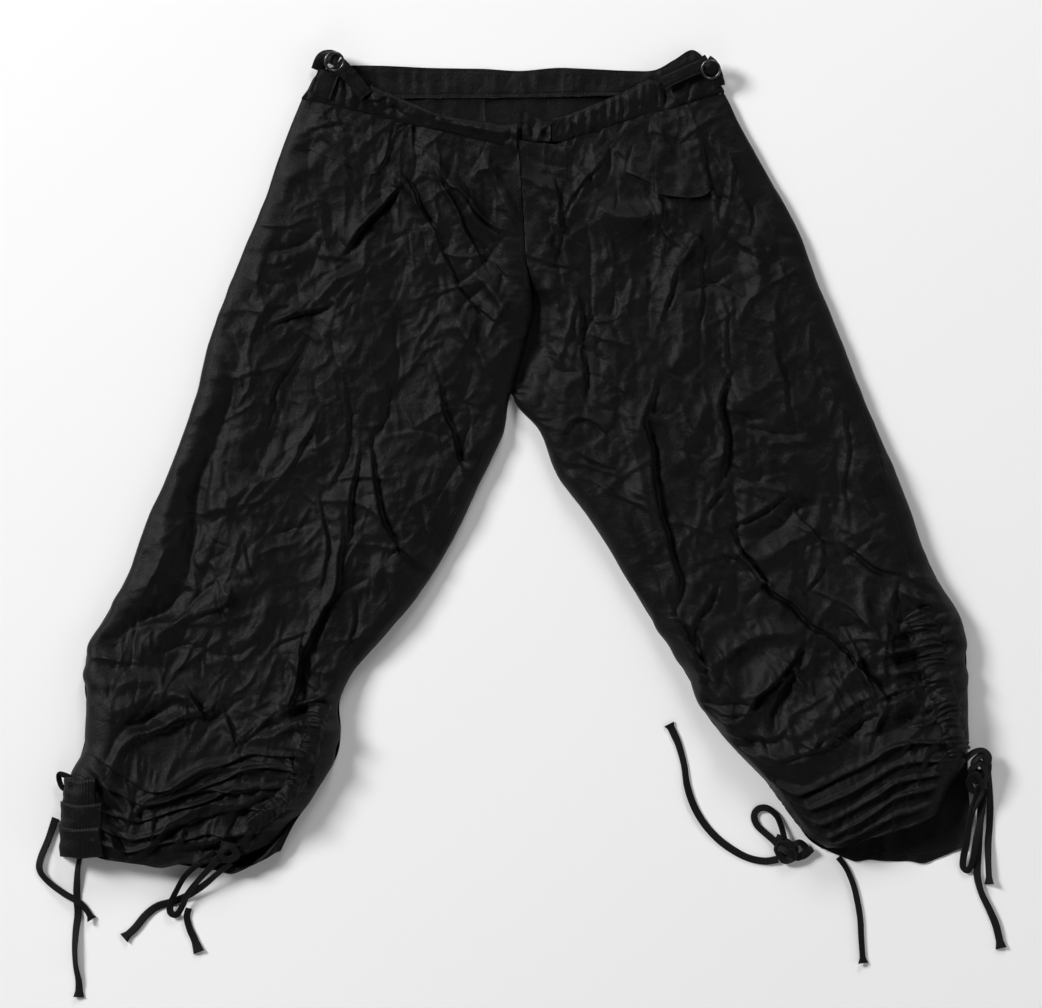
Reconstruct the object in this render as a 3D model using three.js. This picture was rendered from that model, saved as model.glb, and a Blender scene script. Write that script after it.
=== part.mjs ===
// Black cotton capri pants lying flat on a surface, front up, waist towards +Y.
// Units are millimetres, +Z is up and the surface is z = 0. "Right" and "left" are the wearer's,
// so the right leg lies on the -X side. The back of each leg is a flat sheet curled up at its
// edges. The front of each leg arches over it, and both legs end in drawcord-gathered cuffs.
//
// Places in the tables are board millimetres: the pants lie on a layout board, x runs from the
// board's left side and y from its top edge towards the hems. place() turns them into the part's frame.
import * as THREE from 'three';

// Driving dimensions
const CLOTH = 1.5; // wall of one layer of cloth
const DOUBLED = 2.1; // wall of the bands, flaps and straps, which are doubled cloth
const GAP = 0.3; // space between two pieces at a seam
const SEAM_GAP = 0.4; // half the space between the two fronts on the centre line
const CURL = 2.6; // how far the back's edges curl up from the surface
const EDGE_SPARE = 0.2; // more than the gap between a front's edge and the curled back
const EDGE_TOP = 2 * CLOTH + CURL + GAP + EDGE_SPARE; // top of the front's edge
const FOLD_RELIEF = 1.5; // times the height that the fold tables give
const ROLL = 24; // width over which a front rounds down to its edge
const ROW_STEP = 23; // spacing of the lines across a front
const BACK_ROW_STEP = 34; // spacing of the lines across a back
const EDGE_COLUMNS = [0, 0.018, 0.055]; // shares of a front's width where it rounds down
const FIRST_MIDDLE_COLUMN = 0.11; // share of the width where its even columns begin
const MIDDLE_COLUMNS = 14;
const BACK_COLUMNS = [0, 0.014, 0.04, 0.08, 0.2, 0.4, 0.6, 0.8, 0.92, 0.96, 0.986, 1];
const FOLD_FADE = 4; // the folds fade out over one part in so many of the width
const TUCK_FADE = { outer: 7, inner: 5 }; // and so do the tucks at each end
const TUCK_EDGE = 1.8; // run of the step at a tuck's edge
const FRONT_LEAN = 0.5; // how square to its surface a front's underside is set off
const BOARD_ORIGIN = { x: 516.25, y: 461.65 }; // board point over the middle of the garment
const CROTCH_Y = 394; // board y where the two legs part
const CORD_WIDTH = 7; // flat drawcord
const CORD_THICKNESS = 2.2;
const CORD_STEP = 15; // spacing of a cord's sections
const CHANNEL_CLEAR = 12; // reach around a point that a channel clears the cloth beneath within
const FLAP_CLEAR = 6; // the same for a pocket flap
const CLEAR_SAMPLES = [-1, -0.75, -0.5, -0.25, 0, 0.25, 0.5, 0.75, 1]; // shares of that reach looked at
const FLAP_ACROSS = 4; // parts of a flap from its seam to its lower edge
const FLAP_LIFTS = { right: 1.5, left: 2 }; // how far each flap's lower edge stands up
const BAND_STATIONS = { right: 40, left: 52, underlap: 4 };
const STRAP_SECTIONS = 6;
const RING_RADIUS = 9; // side adjuster ring, middle of its wire
const RING_WIRE = 1.2; // radius of the ring's wire
const RING_SIDES = { wire: 7, round: 20 };
const KNOT_HEIGHT = 6;

const BLACK_CLOTH = { color: 0x17171a, roughness: 0.8, metalness: 0 };
const BLACK_CORD = { color: 0x141416, roughness: 0.9, metalness: 0 };
const DARK_METAL = { color: 0x8c8c90, roughness: 0.35, metalness: 0.9 };

// Turns rows of numbers into objects with the named columns.
function table(names, rows) {
  const columns = names.split(' ');
  return rows.map((row) => Object.fromEntries(columns.map((name, i) => [name, row[i]])));
}

// The centre line that both fronts meet on, from the waist seam to the crotch.
const FRONT_CENTRE = table('x y', [
  [518, 138], [521, 182], [524, 227], [525, 256], [532, 290], [534, 312], [524, 350], [511, 398],
]);

// The seam that both backs meet on.
const BACK_CENTRE = table('x y', [[484, 96], [486, 125], [500, 210], [508, 300], [511, 398]]);

// Lines across the right leg from the waist seam to the last one above the tucks: its outer and
// inner ends, sags towards the hem near each end, height of the cloth's middle and inner end.
const RIGHT_LINES = table('outX outY inX inY outSag inSag loft inZ', [
  [302, 100, 517, 150, 0, 0, 11, 12],
  [285, 142, 521, 184, 0, 2, 13, 13],
  [266, 198, 524, 227, 0, 0, 14, 13],
  [245, 248, 525, 262, 0, 0, 15, 13],
  [226, 296, 532, 300, 0, 0, 16, 10],
  [209, 343, 529, 345, 0, 0, 17, 8],
  [198, 390, 510, 396, 0, 0, 18, 6.3],
  [183, 436, 503, 434, 0, 0, 19, 6.3],
  [165, 482, 481, 480, 0, 0, 20, 6.3],
  [147, 521, 458, 530, 0, 0, 21, 6.3],
  [131, 568, 427, 583, 0, 0, 22, 6.3],
  [110, 609, 388, 632, 4, 4, 23, 6.3],
  [89, 647, 353, 672, 8, 6, 24, 6.3],
  [85, 684, 340, 701, 10, 6, 26, 6.3],
  [88, 716, 341, 731, 14, 4, 28, 6.3],
]);

// Edges of the tucks drawn up at the right cuff, from the knee side to the hem. rise is how far
// the cloth climbs to the edge before it steps down.
const RIGHT_TUCKS = table('outX outY inX inY outSag inSag loft inZ rise', [
  [82, 752, 335, 758, 36, -4, 28, 7, 6],
  [72, 772, 328, 773, 34, -6, 27, 7, 5],
  [66, 792, 317, 791, 30, -6, 26, 7.5, 5],
  [63, 812, 305, 808, 28, 0, 24, 8, 5],
  [64, 832, 286, 826, 22, 4, 21, 10, 4],
  [74, 849, 262, 838, 18, 16, 18, 11, 0],
]);

// Lines across the left leg, as for the right one.
const LEFT_LINES = table('outX outY inX inY outSag inSag loft inZ', [
  [724, 93, 519, 141, 5, 13, 11, 13],
  [743, 132, 522, 180, 4, 8, 13, 14],
  [772, 184, 524, 226, 0, 4, 14, 13],
  [798, 231, 525, 262, 0, 0, 15, 13],
  [816, 280, 532, 300, 0, 0, 16, 10],
  [838, 333, 529, 345, 0, 0, 17, 8],
  [860, 390, 513, 396, 0, 0, 18, 6.3],
  [877, 431, 540, 432, 0, 0, 19, 6.3],
  [896, 474, 557, 475, 0, 0, 20, 6.3],
  [911, 513, 588, 517, 0, 0, 21, 6.3],
  [924, 552, 616, 560, 0, 0, 22, 6.3],
  [942, 589, 642, 604, 0, 0, 24, 6.3],
  [961, 620, 668, 645, 0, 4, 25, 6.3],
  [966, 656, 690, 681, 0, 8, 27, 6.3],
  [966, 692, 706, 714, 0, 12, 28, 6.3],
  [966, 720, 733, 747, 0, 20, 29, 6.3],
]);

// Edges of the tucks at the left cuff.
const LEFT_TUCKS = table('outX outY inX inY outSag inSag loft inZ rise', [
  [968, 741, 757, 772, -8, 29, 29, 8, 6],
  [966, 757, 772, 788, -4, 27, 28, 8, 5],
  [960, 770, 786, 806, -3, 25, 26, 8, 5],
  [952, 782, 799, 822, -2, 23, 24, 8, 5],
  [945, 797, 812, 838, 2, 13, 22, 8, 4],
  [938, 812, 826, 847, 5, 6, 20, 9, 0],
]);

// Where the sags are deepest, as shares of the line from its outer end.
const SAG_PLACES = {
  outer: { at: 0.27, before: 0.27, after: 0.38 },
  inner: { at: 0.76, before: 0.4, after: 0.24 },
};

// Ends of each back's top edge, which is the seam of the back waistband.
const RIGHT_BACK_TOP = { outX: 302, outY: 99.5, inX: 484, inY: 98.5 };
const LEFT_BACK_TOP = { outX: 723, outY: 94, inX: 484, inY: 98.5 };

// The backs run on past the fronts at the hem. curl is the height of each edge above the surface.
const RIGHT_BACK_HEM = table('outX outY inX inY outSag inSag outCurl inCurl', [
  [82, 752, 336, 758, 10, 6, CURL, CURL],
  [64, 795, 313, 796, 14, 14, CURL, 3],
  [62, 826, 295, 822, 16, 30, CURL, 4],
  [74, 845, 281, 850, 14, 26, CURL, 5],
]);
const LEFT_BACK_HEM = table('outX outY inX inY outSag inSag outCurl inCurl', [
  [967, 742, 756, 770, 4, 8, CURL, CURL],
  [968, 785, 786, 806, 6, 12, 3, CURL],
  [970, 826, 806, 836, 12, 14, 4, CURL],
  [964, 848, 822, 848, 16, 14, 3, CURL],
]);

// The largest folds of each front: both ends, half the width, and the height of the ridge, or
// the depth of the trough where it is negative.
const RIGHT_FOLDS = table('x0 y0 x1 y1 width height', [
  [352, 242, 394, 194, 11, -5],
  [372, 262, 410, 200, 9, 3],
  [270, 254, 323, 233, 9, 2.5],
  [275, 330, 331, 306, 10, -4],
  [308, 312, 362, 268, 10, 3.5],
  [394, 172, 428, 212, 8, 3],
  [429, 158, 493, 240, 11, 4],
  [487, 160, 514, 220, 8, 3],
  [403, 180, 440, 240, 8, -3],
  [440, 240, 500, 330, 11, -4],
  [440, 300, 492, 372, 12, 4],
  [252, 356, 228, 420, 13, 5],
  [234, 378, 219, 440, 14, -7],
  [219, 440, 196, 492, 15, -8],
  [196, 492, 190, 572, 15, -9],
  [188, 572, 112, 642, 17, -9],
  [176, 470, 160, 560, 13, 5],
  [232, 470, 214, 590, 15, 5],
  [246, 492, 325, 448, 10, 3.5],
  [342, 540, 334, 596, 9, -6],
  [334, 596, 290, 700, 11, -7],
  [362, 560, 352, 640, 11, 4],
  [298, 560, 262, 660, 15, 4],
  [355, 460, 350, 534, 9, -5],
  [372, 440, 380, 510, 9, -5],
  [380, 510, 426, 570, 9, -4],
  [440, 384, 470, 484, 10, -4],
  [404, 400, 428, 500, 13, 4],
  [110, 700, 190, 700, 14, 6],
  [104, 668, 184, 640, 12, -4],
  [150, 742, 204, 708, 11, 5],
  [222, 700, 292, 736, 10, -4],
  [300, 452, 282, 520, 14, 4],
  [330, 360, 372, 420, 13, 3.5],
]);
const LEFT_FOLDS = table('x0 y0 x1 y1 width height', [
  [562, 226, 612, 156, 11, 4],
  [601, 205, 655, 216, 15, 5],
  [680, 270, 697, 232, 9, 4],
  [662, 318, 676, 272, 9, -4],
  [702, 236, 701, 360, 8, -3],
  [722, 250, 731, 420, 11, -3.5],
  [582, 296, 588, 404, 9, -4],
  [612, 270, 620, 390, 12, 4],
  [724, 396, 748, 418, 12, 6],
  [653, 400, 647, 440, 9, -5],
  [647, 440, 667, 545, 9, -6],
  [667, 545, 678, 622, 9, -6],
  [678, 622, 706, 700, 9, -5],
  [630, 420, 650, 560, 13, 4.5],
  [725, 392, 719, 480, 9, -5],
  [712, 580, 694, 636, 9, -4],
  [706, 548, 690, 590, 12, 4],
  [729, 532, 786, 496, 9, 4],
  [742, 552, 822, 508, 11, -6],
  [734, 536, 775, 596, 9, -4.5],
  [775, 596, 830, 636, 9, -4.5],
  [848, 546, 892, 572, 11, -5],
  [770, 560, 834, 596, 12, 4],
  [798, 650, 756, 694, 9, -5],
  [756, 694, 746, 734, 9, -4],
  [720, 650, 700, 700, 14, 5],
  [790, 690, 772, 736, 8, -5],
  [836, 640, 880, 690, 15, 5],
  [812, 700, 870, 700, 15, -4],
  [868, 560, 862, 640, 12, 4],
  [780, 440, 800, 500, 14, 4],
  [830, 420, 852, 520, 14, 3],
]);

// Gathered channels that lie on the fronts: the line they follow, their width at both ends, the
// number of gathers drawn up on the cord, how high each stands and its number of facets.
const CHANNELS = {
  outerLeft: {
    line: table('x y', [[917, 608], [925, 638], [934, 668], [943, 702], [950, 730], [957, 752]]),
    widths: [40, 26], gathers: 28, height: 3, facets: 4,
  },
  innerRight: {
    line: table('x y', [[321, 702], [316, 728], [308, 756], [296, 782], [276, 806], [252, 826]]),
    widths: [24, 18], gathers: 14, height: 2.8, facets: 4,
  },
  outerRight: {
    line: table('x y', [[88, 770], [85, 798], [82, 826], [82, 842]]),
    widths: [34, 38], gathers: 3, height: 6, facets: 8,
  },
  innerLeft: {
    line: table('x y', [[770, 780], [785, 800], [800, 821], [815, 836]]),
    widths: [9, 9], gathers: 6, height: 2, facets: 4,
  },
};

// Heights of the front waistbands above the waist seam, by the share of the front's top edge
// from its outer end, and how much higher than the seam the band's top edge lies.
const RIGHT_BAND = table('share height lift', [
  [0, 2, 0], [0.028, 11, 0], [0.05, 22, 0], [0.085, 33, 0], [0.2, 36, 0], [0.33, 30, 1],
  [0.48, 23, 2], [0.62, 17, 3], [0.75, 17, 3], [0.88, 21, 3], [1, 25, 2],
]);
const LEFT_BAND = table('share height lift', [
  [0, 2, 0], [0.025, 12, 0], [0.045, 22, 0], [0.08, 28, 0], [0.14, 28, 0], [0.27, 27, 1],
  [0.37, 36, 1], [0.5, 31, 2], [0.64, 28, 3], [0.76, 27, 3], [0.84, 24, 3],
]);
const UNDERLAP_BAND = table('share height lift', [[0.845, 23, -3.5], [0.92, 26, -4], [0.985, 30, -3.5]]);
const BAND_WRINKLES = { from: 0.36, to: 0.84, count: 10, height: 1.3 };

// The back waistband's top edge, and where the same station meets its seam.
const BACK_BAND = table('topX topY lowX', [
  [318, 71, 310], [345, 66, 342], [385, 66, 388], [430, 68, 430], [484, 69, 484], [520, 71, 520],
  [556, 68, 556], [588, 69, 588], [632, 71, 630], [655, 70, 660], [674, 60, 686], [692, 50, 708],
  [705, 60, 716], [714, 74, 722], [718, 86, 724],
]);

// Pocket flaps, as two facing edges from one end to the other.
const LEFT_FLAP = table('topX topY lowX lowY', [
  [632, 133, 623, 173], [642, 130, 637, 179], [656, 127, 657, 193], [672, 124, 678, 195],
  [690, 121, 700, 195], [704, 119, 714, 187],
]);
const RIGHT_FLAP = table('topX topY lowX lowY', [
  [318, 124, 304, 147], [334, 122, 326, 157], [352, 122, 348, 166], [370, 121, 366, 175],
  [384, 122, 378, 172], [396, 126, 388, 156],
]);

// Straps of the side adjusters: the line they follow with its height, and the width.
const STRAPS = {
  adjuster_strap_right: {
    line: [[343, 70, 17.4], [350, 77, 18], [358, 86, 18.4], [366, 97, 18.4]], width: 15,
  },
  adjuster_tab_right: { line: [[329, 73, 15.3], [325, 84, 15.6], [320, 97, 14.8]], width: 21 },
  adjuster_end_right: {
    line: [[339, 61, 16.4], [331, 58, 15], [323, 60, 11], [318, 71, 5.6]], width: 13,
  },
  adjuster_strap_left: { line: [[702, 65, 17.5], [685, 73, 18.4], [662, 84, 18.4]], width: 14 },
  adjuster_end_left: { line: [[713, 66, 16.6], [716, 76, 15.6], [719, 87, 13.6]], width: 10 },
};
const RINGS = {
  adjuster_ring_right: { x: 335, y: 63, z: 20.6, tilt: 0.15, turn: 0.6 },
  adjuster_ring_left: { x: 710, y: 71, z: 20.6, tilt: 0.15, turn: -0.6 },
};

// Routes of the drawcord's free stretches, with the height of each point above the surface.
const CORDS = {
  cord_outer_right_a: [
    [56, 818, 4], [49, 838, 1.6], [41, 858, 1.6], [40, 870, 1.6], [48, 881, 2.6], [64, 893, 4.4],
    [78, 901, 5], [87, 910, 3.2], [92, 919, 1.6],
  ],
  cord_outer_right_b: [
    [81, 854, 3], [78, 868, 1.6], [77, 884, 1.4], [77, 898, 1.4], [78, 914, 1.4], [76, 932, 1.6],
    [75, 950, 1.6], [76, 966, 1.6], [79, 982, 1.6], [79, 997, 1.6],
  ],
  cord_inner_right_a: [
    [232, 862, 17], [219, 872, 14], [205, 884, 9], [190, 894, 4.8], [174, 901, 2], [158, 906, 1.6],
    [146, 915, 1.6], [135, 928, 1.6], [124, 938, 1.6],
  ],
  cord_inner_right_loop: [
    [216, 850, 22.5], [200, 862, 19], [186, 875, 12.5], [177, 890, 8.5], [171, 903, 6], [171, 912, 5],
    [177, 914, 5], [183, 905, 6.5], [189, 892, 9.5], [204, 874, 16], [220, 858, 22.5],
  ],
  cord_inner_right_b: [
    [189, 908, 2.4], [187, 917, 1.6], [190, 929, 1.6], [194, 938, 1.6], [199, 952, 1.6],
  ],
  cord_inner_left_a: [
    [778, 859, 3], [765, 861, 1.6], [749, 858, 1.6], [733, 850, 1.6], [717, 838, 1.6], [703, 822, 1.6],
    [693, 804, 1.6], [687, 785, 1.6], [684, 765, 1.6], [679, 746, 1.6], [674, 734, 1.6], [669, 724, 1.6],
  ],
  cord_inner_left_loop: [
    [784, 838, 8], [781, 826, 5.5], [776, 815, 3.5], [767, 808, 2], [758, 809, 1.6], [754, 816, 1.6],
    [757, 825, 1.6], [765, 833, 2], [773, 840, 3], [779, 847, 5],
  ],
  cord_inner_left_b: [
    [838, 857, 3], [846, 868, 1.6], [853, 884, 1.6], [857, 900, 1.6], [860, 918, 1.6], [861, 936, 1.6],
    [862, 950, 1.6], [863, 963, 1.6],
  ],
  cord_outer_left_a: [
    [981, 776, 9], [981, 796, 3.6], [980, 816, 1.8], [979, 836, 1.6], [978, 856, 1.6], [977, 874, 1.6],
    [981, 892, 1.6], [989, 909, 1.6], [996, 926, 1.6], [1001, 948, 1.6],
  ],
  cord_outer_left_b: [
    [988, 771, 6], [989.5, 788, 3], [990, 806, 2.2], [989.5, 824, 2], [988, 842, 1.8], [988, 862, 1.6],
    [989, 884, 1.6],
  ],
  cord_outer_left_loop: [
    [977, 785, 14], [974, 802, 10], [969, 822, 8.6], [966, 842, 7], [963, 858, 4.4], [963, 867, 3.4],
    [968, 870, 3.4], [972, 861, 5], [975, 845, 5.6], [979, 825, 5.8], [982, 806, 7.4], [983, 788, 12],
  ],
};

// Knots that each pair of ends comes out of.
const KNOTS = table('name x y z wide long', [
  ['knot_outer_right', 62, 781, 10, 8, 12],
  ['knot_inner_right', 229, 851, 25, 9, 8],
  ['knot_inner_left', 787, 851, 7, 8, 7],
  ['knot_outer_left', 981, 760, 17, 7, 9],
]);

function place(x, y, z) {
  return new THREE.Vector3(x - BOARD_ORIGIN.x, BOARD_ORIGIN.y - y, z);
}

function material(look) {
  return new THREE.MeshStandardMaterial(look);
}

function named(name, geometry, look) {
  const mesh = new THREE.Mesh(geometry, material(look));
  mesh.name = name;
  return mesh;
}

// Value of a smooth curve through four neighbours, at share t between the middle two.
function smooth(a, b, c, d, t) {
  const bend = 2 * b - a - c;
  const rise = (c - a) / 2;
  const cubic = (3 * (b - c) + d - a) / 2;
  return b + rise * t + (-bend - cubic) * t * t + cubic * t * t * t;
}

// Row of numbers at share t between rows i and i + 1 of a table.
function rowBetween(rows, i, t) {
  const row = (k) => rows[Math.min(Math.max(k, 0), rows.length - 1)];
  const result = {};
  for (const key of Object.keys(rows[0])) {
    result[key] = smooth(row(i - 1)[key], row(i)[key], row(i + 1)[key], row(i + 2)[key], t);
  }
  return result;
}

// Rows at an even spacing between the table's rows, measured along the leg.
function subdivide(rows, step) {
  const result = [];
  for (let i = 0; i < rows.length - 1; i++) {
    const run = Math.hypot(rows[i + 1].outX - rows[i].outX, rows[i + 1].outY - rows[i].outY);
    const parts = Math.max(1, Math.round(run / step));
    for (let k = 0; k < parts; k++) {
      result.push(rowBetween(rows, i, k / parts));
    }
  }
  result.push({ ...rows[rows.length - 1] });
  return result;
}

// x of a line of points at height y.
function lineX(points, y) {
  let i = 0;
  while (i < points.length - 2 && y > points[i + 1].y) i++;
  const [a, b] = [points[i], points[i + 1]];
  return a.x + ((b.x - a.x) * (y - a.y)) / (b.y - a.y);
}

// 0 at both ends of the hump, 1 at its place.
function hump(u, { at, before, after }) {
  const t = u < at ? (at - u) / before : (u - at) / after;
  return t >= 1 ? 0 : Math.cos((t * Math.PI) / 2) ** 2;
}

// Board point at share u of a line across the leg.
function acrossLine(row, u) {
  const sag = row.outSag * hump(u, SAG_PLACES.outer) + row.inSag * hump(u, SAG_PLACES.inner);
  return {
    x: row.outX + (row.inX - row.outX) * u,
    y: row.outY + (row.inY - row.outY) * u + sag,
  };
}

function quarterRound(t) {
  const s = Math.min(Math.max(t, 0), 1);
  return Math.sqrt(1 - (1 - s) ** 2);
}

// Height that the folds add at a board point.
function foldHeight(folds, x, y) {
  let sum = 0;
  for (const fold of folds) {
    const [dx, dy] = [fold.x1 - fold.x0, fold.y1 - fold.y0];
    const length = Math.hypot(dx, dy);
    const t = ((x - fold.x0) * dx + (y - fold.y0) * dy) / (length * length);
    const along = Math.min(Math.max(t, 0), 1);
    const off = Math.hypot(x - fold.x0 - dx * along, y - fold.y0 - dy * along);
    sum += fold.height * Math.exp(-((off / fold.width) ** 2));
  }
  return sum;
}

// Shares of a front's width where its columns lie: close together where it rounds down.
function frontColumns() {
  const span = 1 - 2 * FIRST_MIDDLE_COLUMN;
  const middle = [];
  for (let i = 0; i < MIDDLE_COLUMNS; i++) {
    middle.push(FIRST_MIDDLE_COLUMN + (span * i) / (MIDDLE_COLUMNS - 1));
  }
  const end = EDGE_COLUMNS.map((share) => 1 - share).reverse();
  return [...EDGE_COLUMNS, ...middle, ...end];
}

// Tuck lines: each climbs to its edge and steps down to the next one's start.
function tuckLines(lines, tucks) {
  const result = [];
  let start = { ...lines[lines.length - 1], rise: 0 };
  for (const tuck of tucks) {
    for (const share of [0.5, 1]) {
      const row = {};
      for (const key of Object.keys(tuck)) {
        row[key] = start[key] + (tuck[key] - start[key]) * share;
      }
      row.rise = tuck.rise * share * share;
      result.push(row);
    }
    const foot = { ...tuck, rise: 0 };
    foot.outY += TUCK_EDGE;
    foot.inY += TUCK_EDGE;
    if (tuck.rise > 0) result.push(foot);
    start = foot;
  }
  return result;
}

// Top surface of a front as a grid of points, a row for each line across it.
function frontGrid(lines, tucks, folds, side) {
  const body = subdivide(lines, ROW_STEP).map((row) => ({ ...row, rise: 0 }));
  const rows = [...body, ...tuckLines(lines, tucks)];
  return rows.map((row) => {
    const hip = row.inY < CROTCH_Y;
    if (hip) row.inX = lineX(FRONT_CENTRE, row.inY) + side * SEAM_GAP;
    const width = Math.hypot(row.inX - row.outX, row.inY - row.outY);
    return frontColumns().map((u) => {
      const { x, y } = acrossLine(row, u);
      const outer = quarterRound((u * width) / ROLL);
      const inner = quarterRound(((1 - u) * width) / ROLL);
      const edge = row.loft - (row.loft - EDGE_TOP) * (1 - outer);
      const seat = Math.min(1, FOLD_FADE * u, hip ? 1 : FOLD_FADE * (1 - u));
      const rise = row.rise * Math.min(1, TUCK_FADE.outer * u, TUCK_FADE.inner * (1 - u));
      const folded = foldHeight(folds, x, y) * FOLD_RELIEF * seat;
      const z = edge - (row.loft - row.inZ) * (1 - inner) + folded + rise;
      return place(x, y, Math.max(z, EDGE_TOP));
    });
  });
}

// Top surface of a back: flat on the surface, with its leg edges curled up.
function backGrid(top, lines, hem, side) {
  const body = [{ ...lines[0], ...top }, ...lines.slice(1)].map((row) => {
    const below = row.inY > CROTCH_Y - 1;
    return { ...row, outSag: 0, inSag: 0, outCurl: CURL, inCurl: below ? CURL : 0 };
  });
  const rows = subdivide([...body, ...hem], BACK_ROW_STEP);
  return rows.map((row) => {
    if (row.inY < CROTCH_Y) row.inX = lineX(BACK_CENTRE, row.inY) + side * SEAM_GAP;
    const width = Math.hypot(row.inX - row.outX, row.inY - row.outY);
    return BACK_COLUMNS.map((u) => {
      const { x, y } = acrossLine(row, u);
      const outer = row.outCurl * (1 - quarterRound((u * width) / ROLL));
      const inner = row.inCurl * (1 - quarterRound(((1 - u) * width) / ROLL));
      return place(x, y, CLOTH + Math.max(outer, 0) + Math.max(inner, 0));
    });
  });
}

// Direction a grid's surface faces at one of its points.
function facing(grid, i, j) {
  const row = (k) => grid[Math.min(Math.max(k, 0), grid.length - 1)];
  const column = (k) => Math.min(Math.max(k, 0), grid[0].length - 1);
  const down = new THREE.Vector3().subVectors(row(i + 1)[j], row(i - 1)[j]);
  const across = new THREE.Vector3().subVectors(grid[i][column(j + 1)], grid[i][column(j - 1)]);
  const normal = new THREE.Vector3().crossVectors(down, across).normalize();
  return normal.z < 0 ? normal.negate() : normal;
}

// A closed wall under a grid of top points. lean is 0 where the underside lies straight below the
// top, and 1 where it is set off square to the surface.
function wall(grid, thickness, lean = 0) {
  const [rows, columns] = [grid.length, grid[0].length];
  const positions = [];
  const straight = new THREE.Vector3(0, 0, 1);
  grid.flat().forEach((point) => positions.push(point.x, point.y, point.z));
  for (let i = 0; i < rows; i++) {
    for (let j = 0; j < columns; j++) {
      const out = straight.clone().lerp(facing(grid, i, j), lean).normalize();
      const point = grid[i][j].clone().addScaledVector(out, -thickness);
      positions.push(point.x, point.y, point.z);
    }
  }
  const top = (i, j) => i * columns + j;
  const low = (i, j) => rows * columns + i * columns + j;
  const faces = [];
  const quad = (a, b, c, d) => faces.push([a, b, c], [b, d, c]);
  for (let i = 0; i < rows - 1; i++) {
    for (let j = 0; j < columns - 1; j++) {
      quad(top(i, j), top(i + 1, j), top(i, j + 1), top(i + 1, j + 1));
      quad(low(i, j), low(i, j + 1), low(i + 1, j), low(i + 1, j + 1));
    }
  }
  for (let i = 0; i < rows - 1; i++) {
    quad(top(i, 0), low(i, 0), top(i + 1, 0), low(i + 1, 0));
    quad(top(i + 1, columns - 1), low(i + 1, columns - 1), top(i, columns - 1), low(i, columns - 1));
  }
  for (let j = 0; j < columns - 1; j++) {
    quad(top(0, j + 1), low(0, j + 1), top(0, j), low(0, j));
    quad(top(rows - 1, j), low(rows - 1, j), top(rows - 1, j + 1), low(rows - 1, j + 1));
  }
  return outward(positions, faces);
}

// A geometry of these faces, turned so that they all point out of the solid.
function outward(positions, faces) {
  const point = (i) => new THREE.Vector3().fromArray(positions, i * 3);
  let volume = 0;
  for (const [a, b, c] of faces) {
    volume += point(a).dot(point(b).cross(point(c)));
  }
  const index = faces.flatMap(([a, b, c]) => (volume < 0 ? [a, c, b] : [a, b, c]));
  const geometry = new THREE.BufferGeometry();
  geometry.setAttribute('position', new THREE.Float32BufferAttribute(positions, 3));
  geometry.setIndex(index);
  geometry.computeVertexNormals();
  return geometry;
}

// Height of a grid's surface over a point, or null beside it.
function heightAt(grid, x, y) {
  for (let i = 0; i < grid.length - 1; i++) {
    for (let j = 0; j < grid[0].length - 1; j++) {
      const [a, b, c, d] = [grid[i][j], grid[i + 1][j], grid[i][j + 1], grid[i + 1][j + 1]];
      const height = heightIn(a, b, c, x, y) ?? heightIn(c, b, d, x, y);
      if (height !== null) return height;
    }
  }
  return null;
}

function heightIn(a, b, c, x, y) {
  const whole = (b.x - a.x) * (c.y - a.y) - (c.x - a.x) * (b.y - a.y);
  const s = ((x - a.x) * (c.y - a.y) - (c.x - a.x) * (y - a.y)) / whole;
  const t = ((b.x - a.x) * (y - a.y) - (x - a.x) * (b.y - a.y)) / whole;
  const edge = -1e-6;
  if (s < edge || t < edge || s + t > 1 - edge) return null;
  return a.z + (b.z - a.z) * s + (c.z - a.z) * t;
}

// Highest point of a grid's surface around a point, so that a piece laid there clears it.
function clearHeight(grid, x, y, reach) {
  let best = EDGE_TOP;
  const offsets = CLEAR_SAMPLES.map((share) => share * reach);
  for (const dx of offsets) {
    for (const dy of offsets) {
      best = Math.max(best, heightAt(grid, x + dx, y + dy) ?? best);
    }
  }
  return best;
}

// A strip gathered on its cord: waves run across it, and it lies on the front beneath.
function channelGrid({ line, widths, gathers, height, facets }, under) {
  const curve = new THREE.CatmullRomCurve3(line.map(({ x, y }) => place(x, y, 0)));
  const rows = gathers * facets;
  const grid = [];
  for (let i = 0; i <= rows; i++) {
    const t = i / rows;
    const middle = curve.getPointAt(t);
    const ahead = curve.getTangentAt(t);
    const half = (widths[0] + (widths[1] - widths[0]) * t) / 2;
    const wave = (1 - Math.cos((i / facets) * 2 * Math.PI)) / 2;
    const row = [-1, 0, 1].map((share) => {
      const x = middle.x - ahead.y * half * share;
      const y = middle.y + ahead.x * half * share;
      const base = clearHeight(under, x, y, CHANNEL_CLEAR) + GAP + CLOTH;
      return new THREE.Vector3(x, y, base + height * wave * (1 - 0.5 * share * share));
    });
    grid.push(row);
  }
  return grid;
}

// A flat piece between two facing edges, laid on what is beneath it.
function laidGrid(edges, under, lift) {
  return edges.map((edge) => {
    const [top, low] = [place(edge.topX, edge.topY, 0), place(edge.lowX, edge.lowY, 0)];
    const row = [];
    for (let k = 0; k <= FLAP_ACROSS; k++) {
      const t = k / FLAP_ACROSS;
      const point = top.clone().lerp(low, t);
      point.z = clearHeight(under, point.x, point.y, FLAP_CLEAR) + GAP + CLOTH + lift * t;
      row.push(point);
    }
    return row;
  });
}

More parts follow.
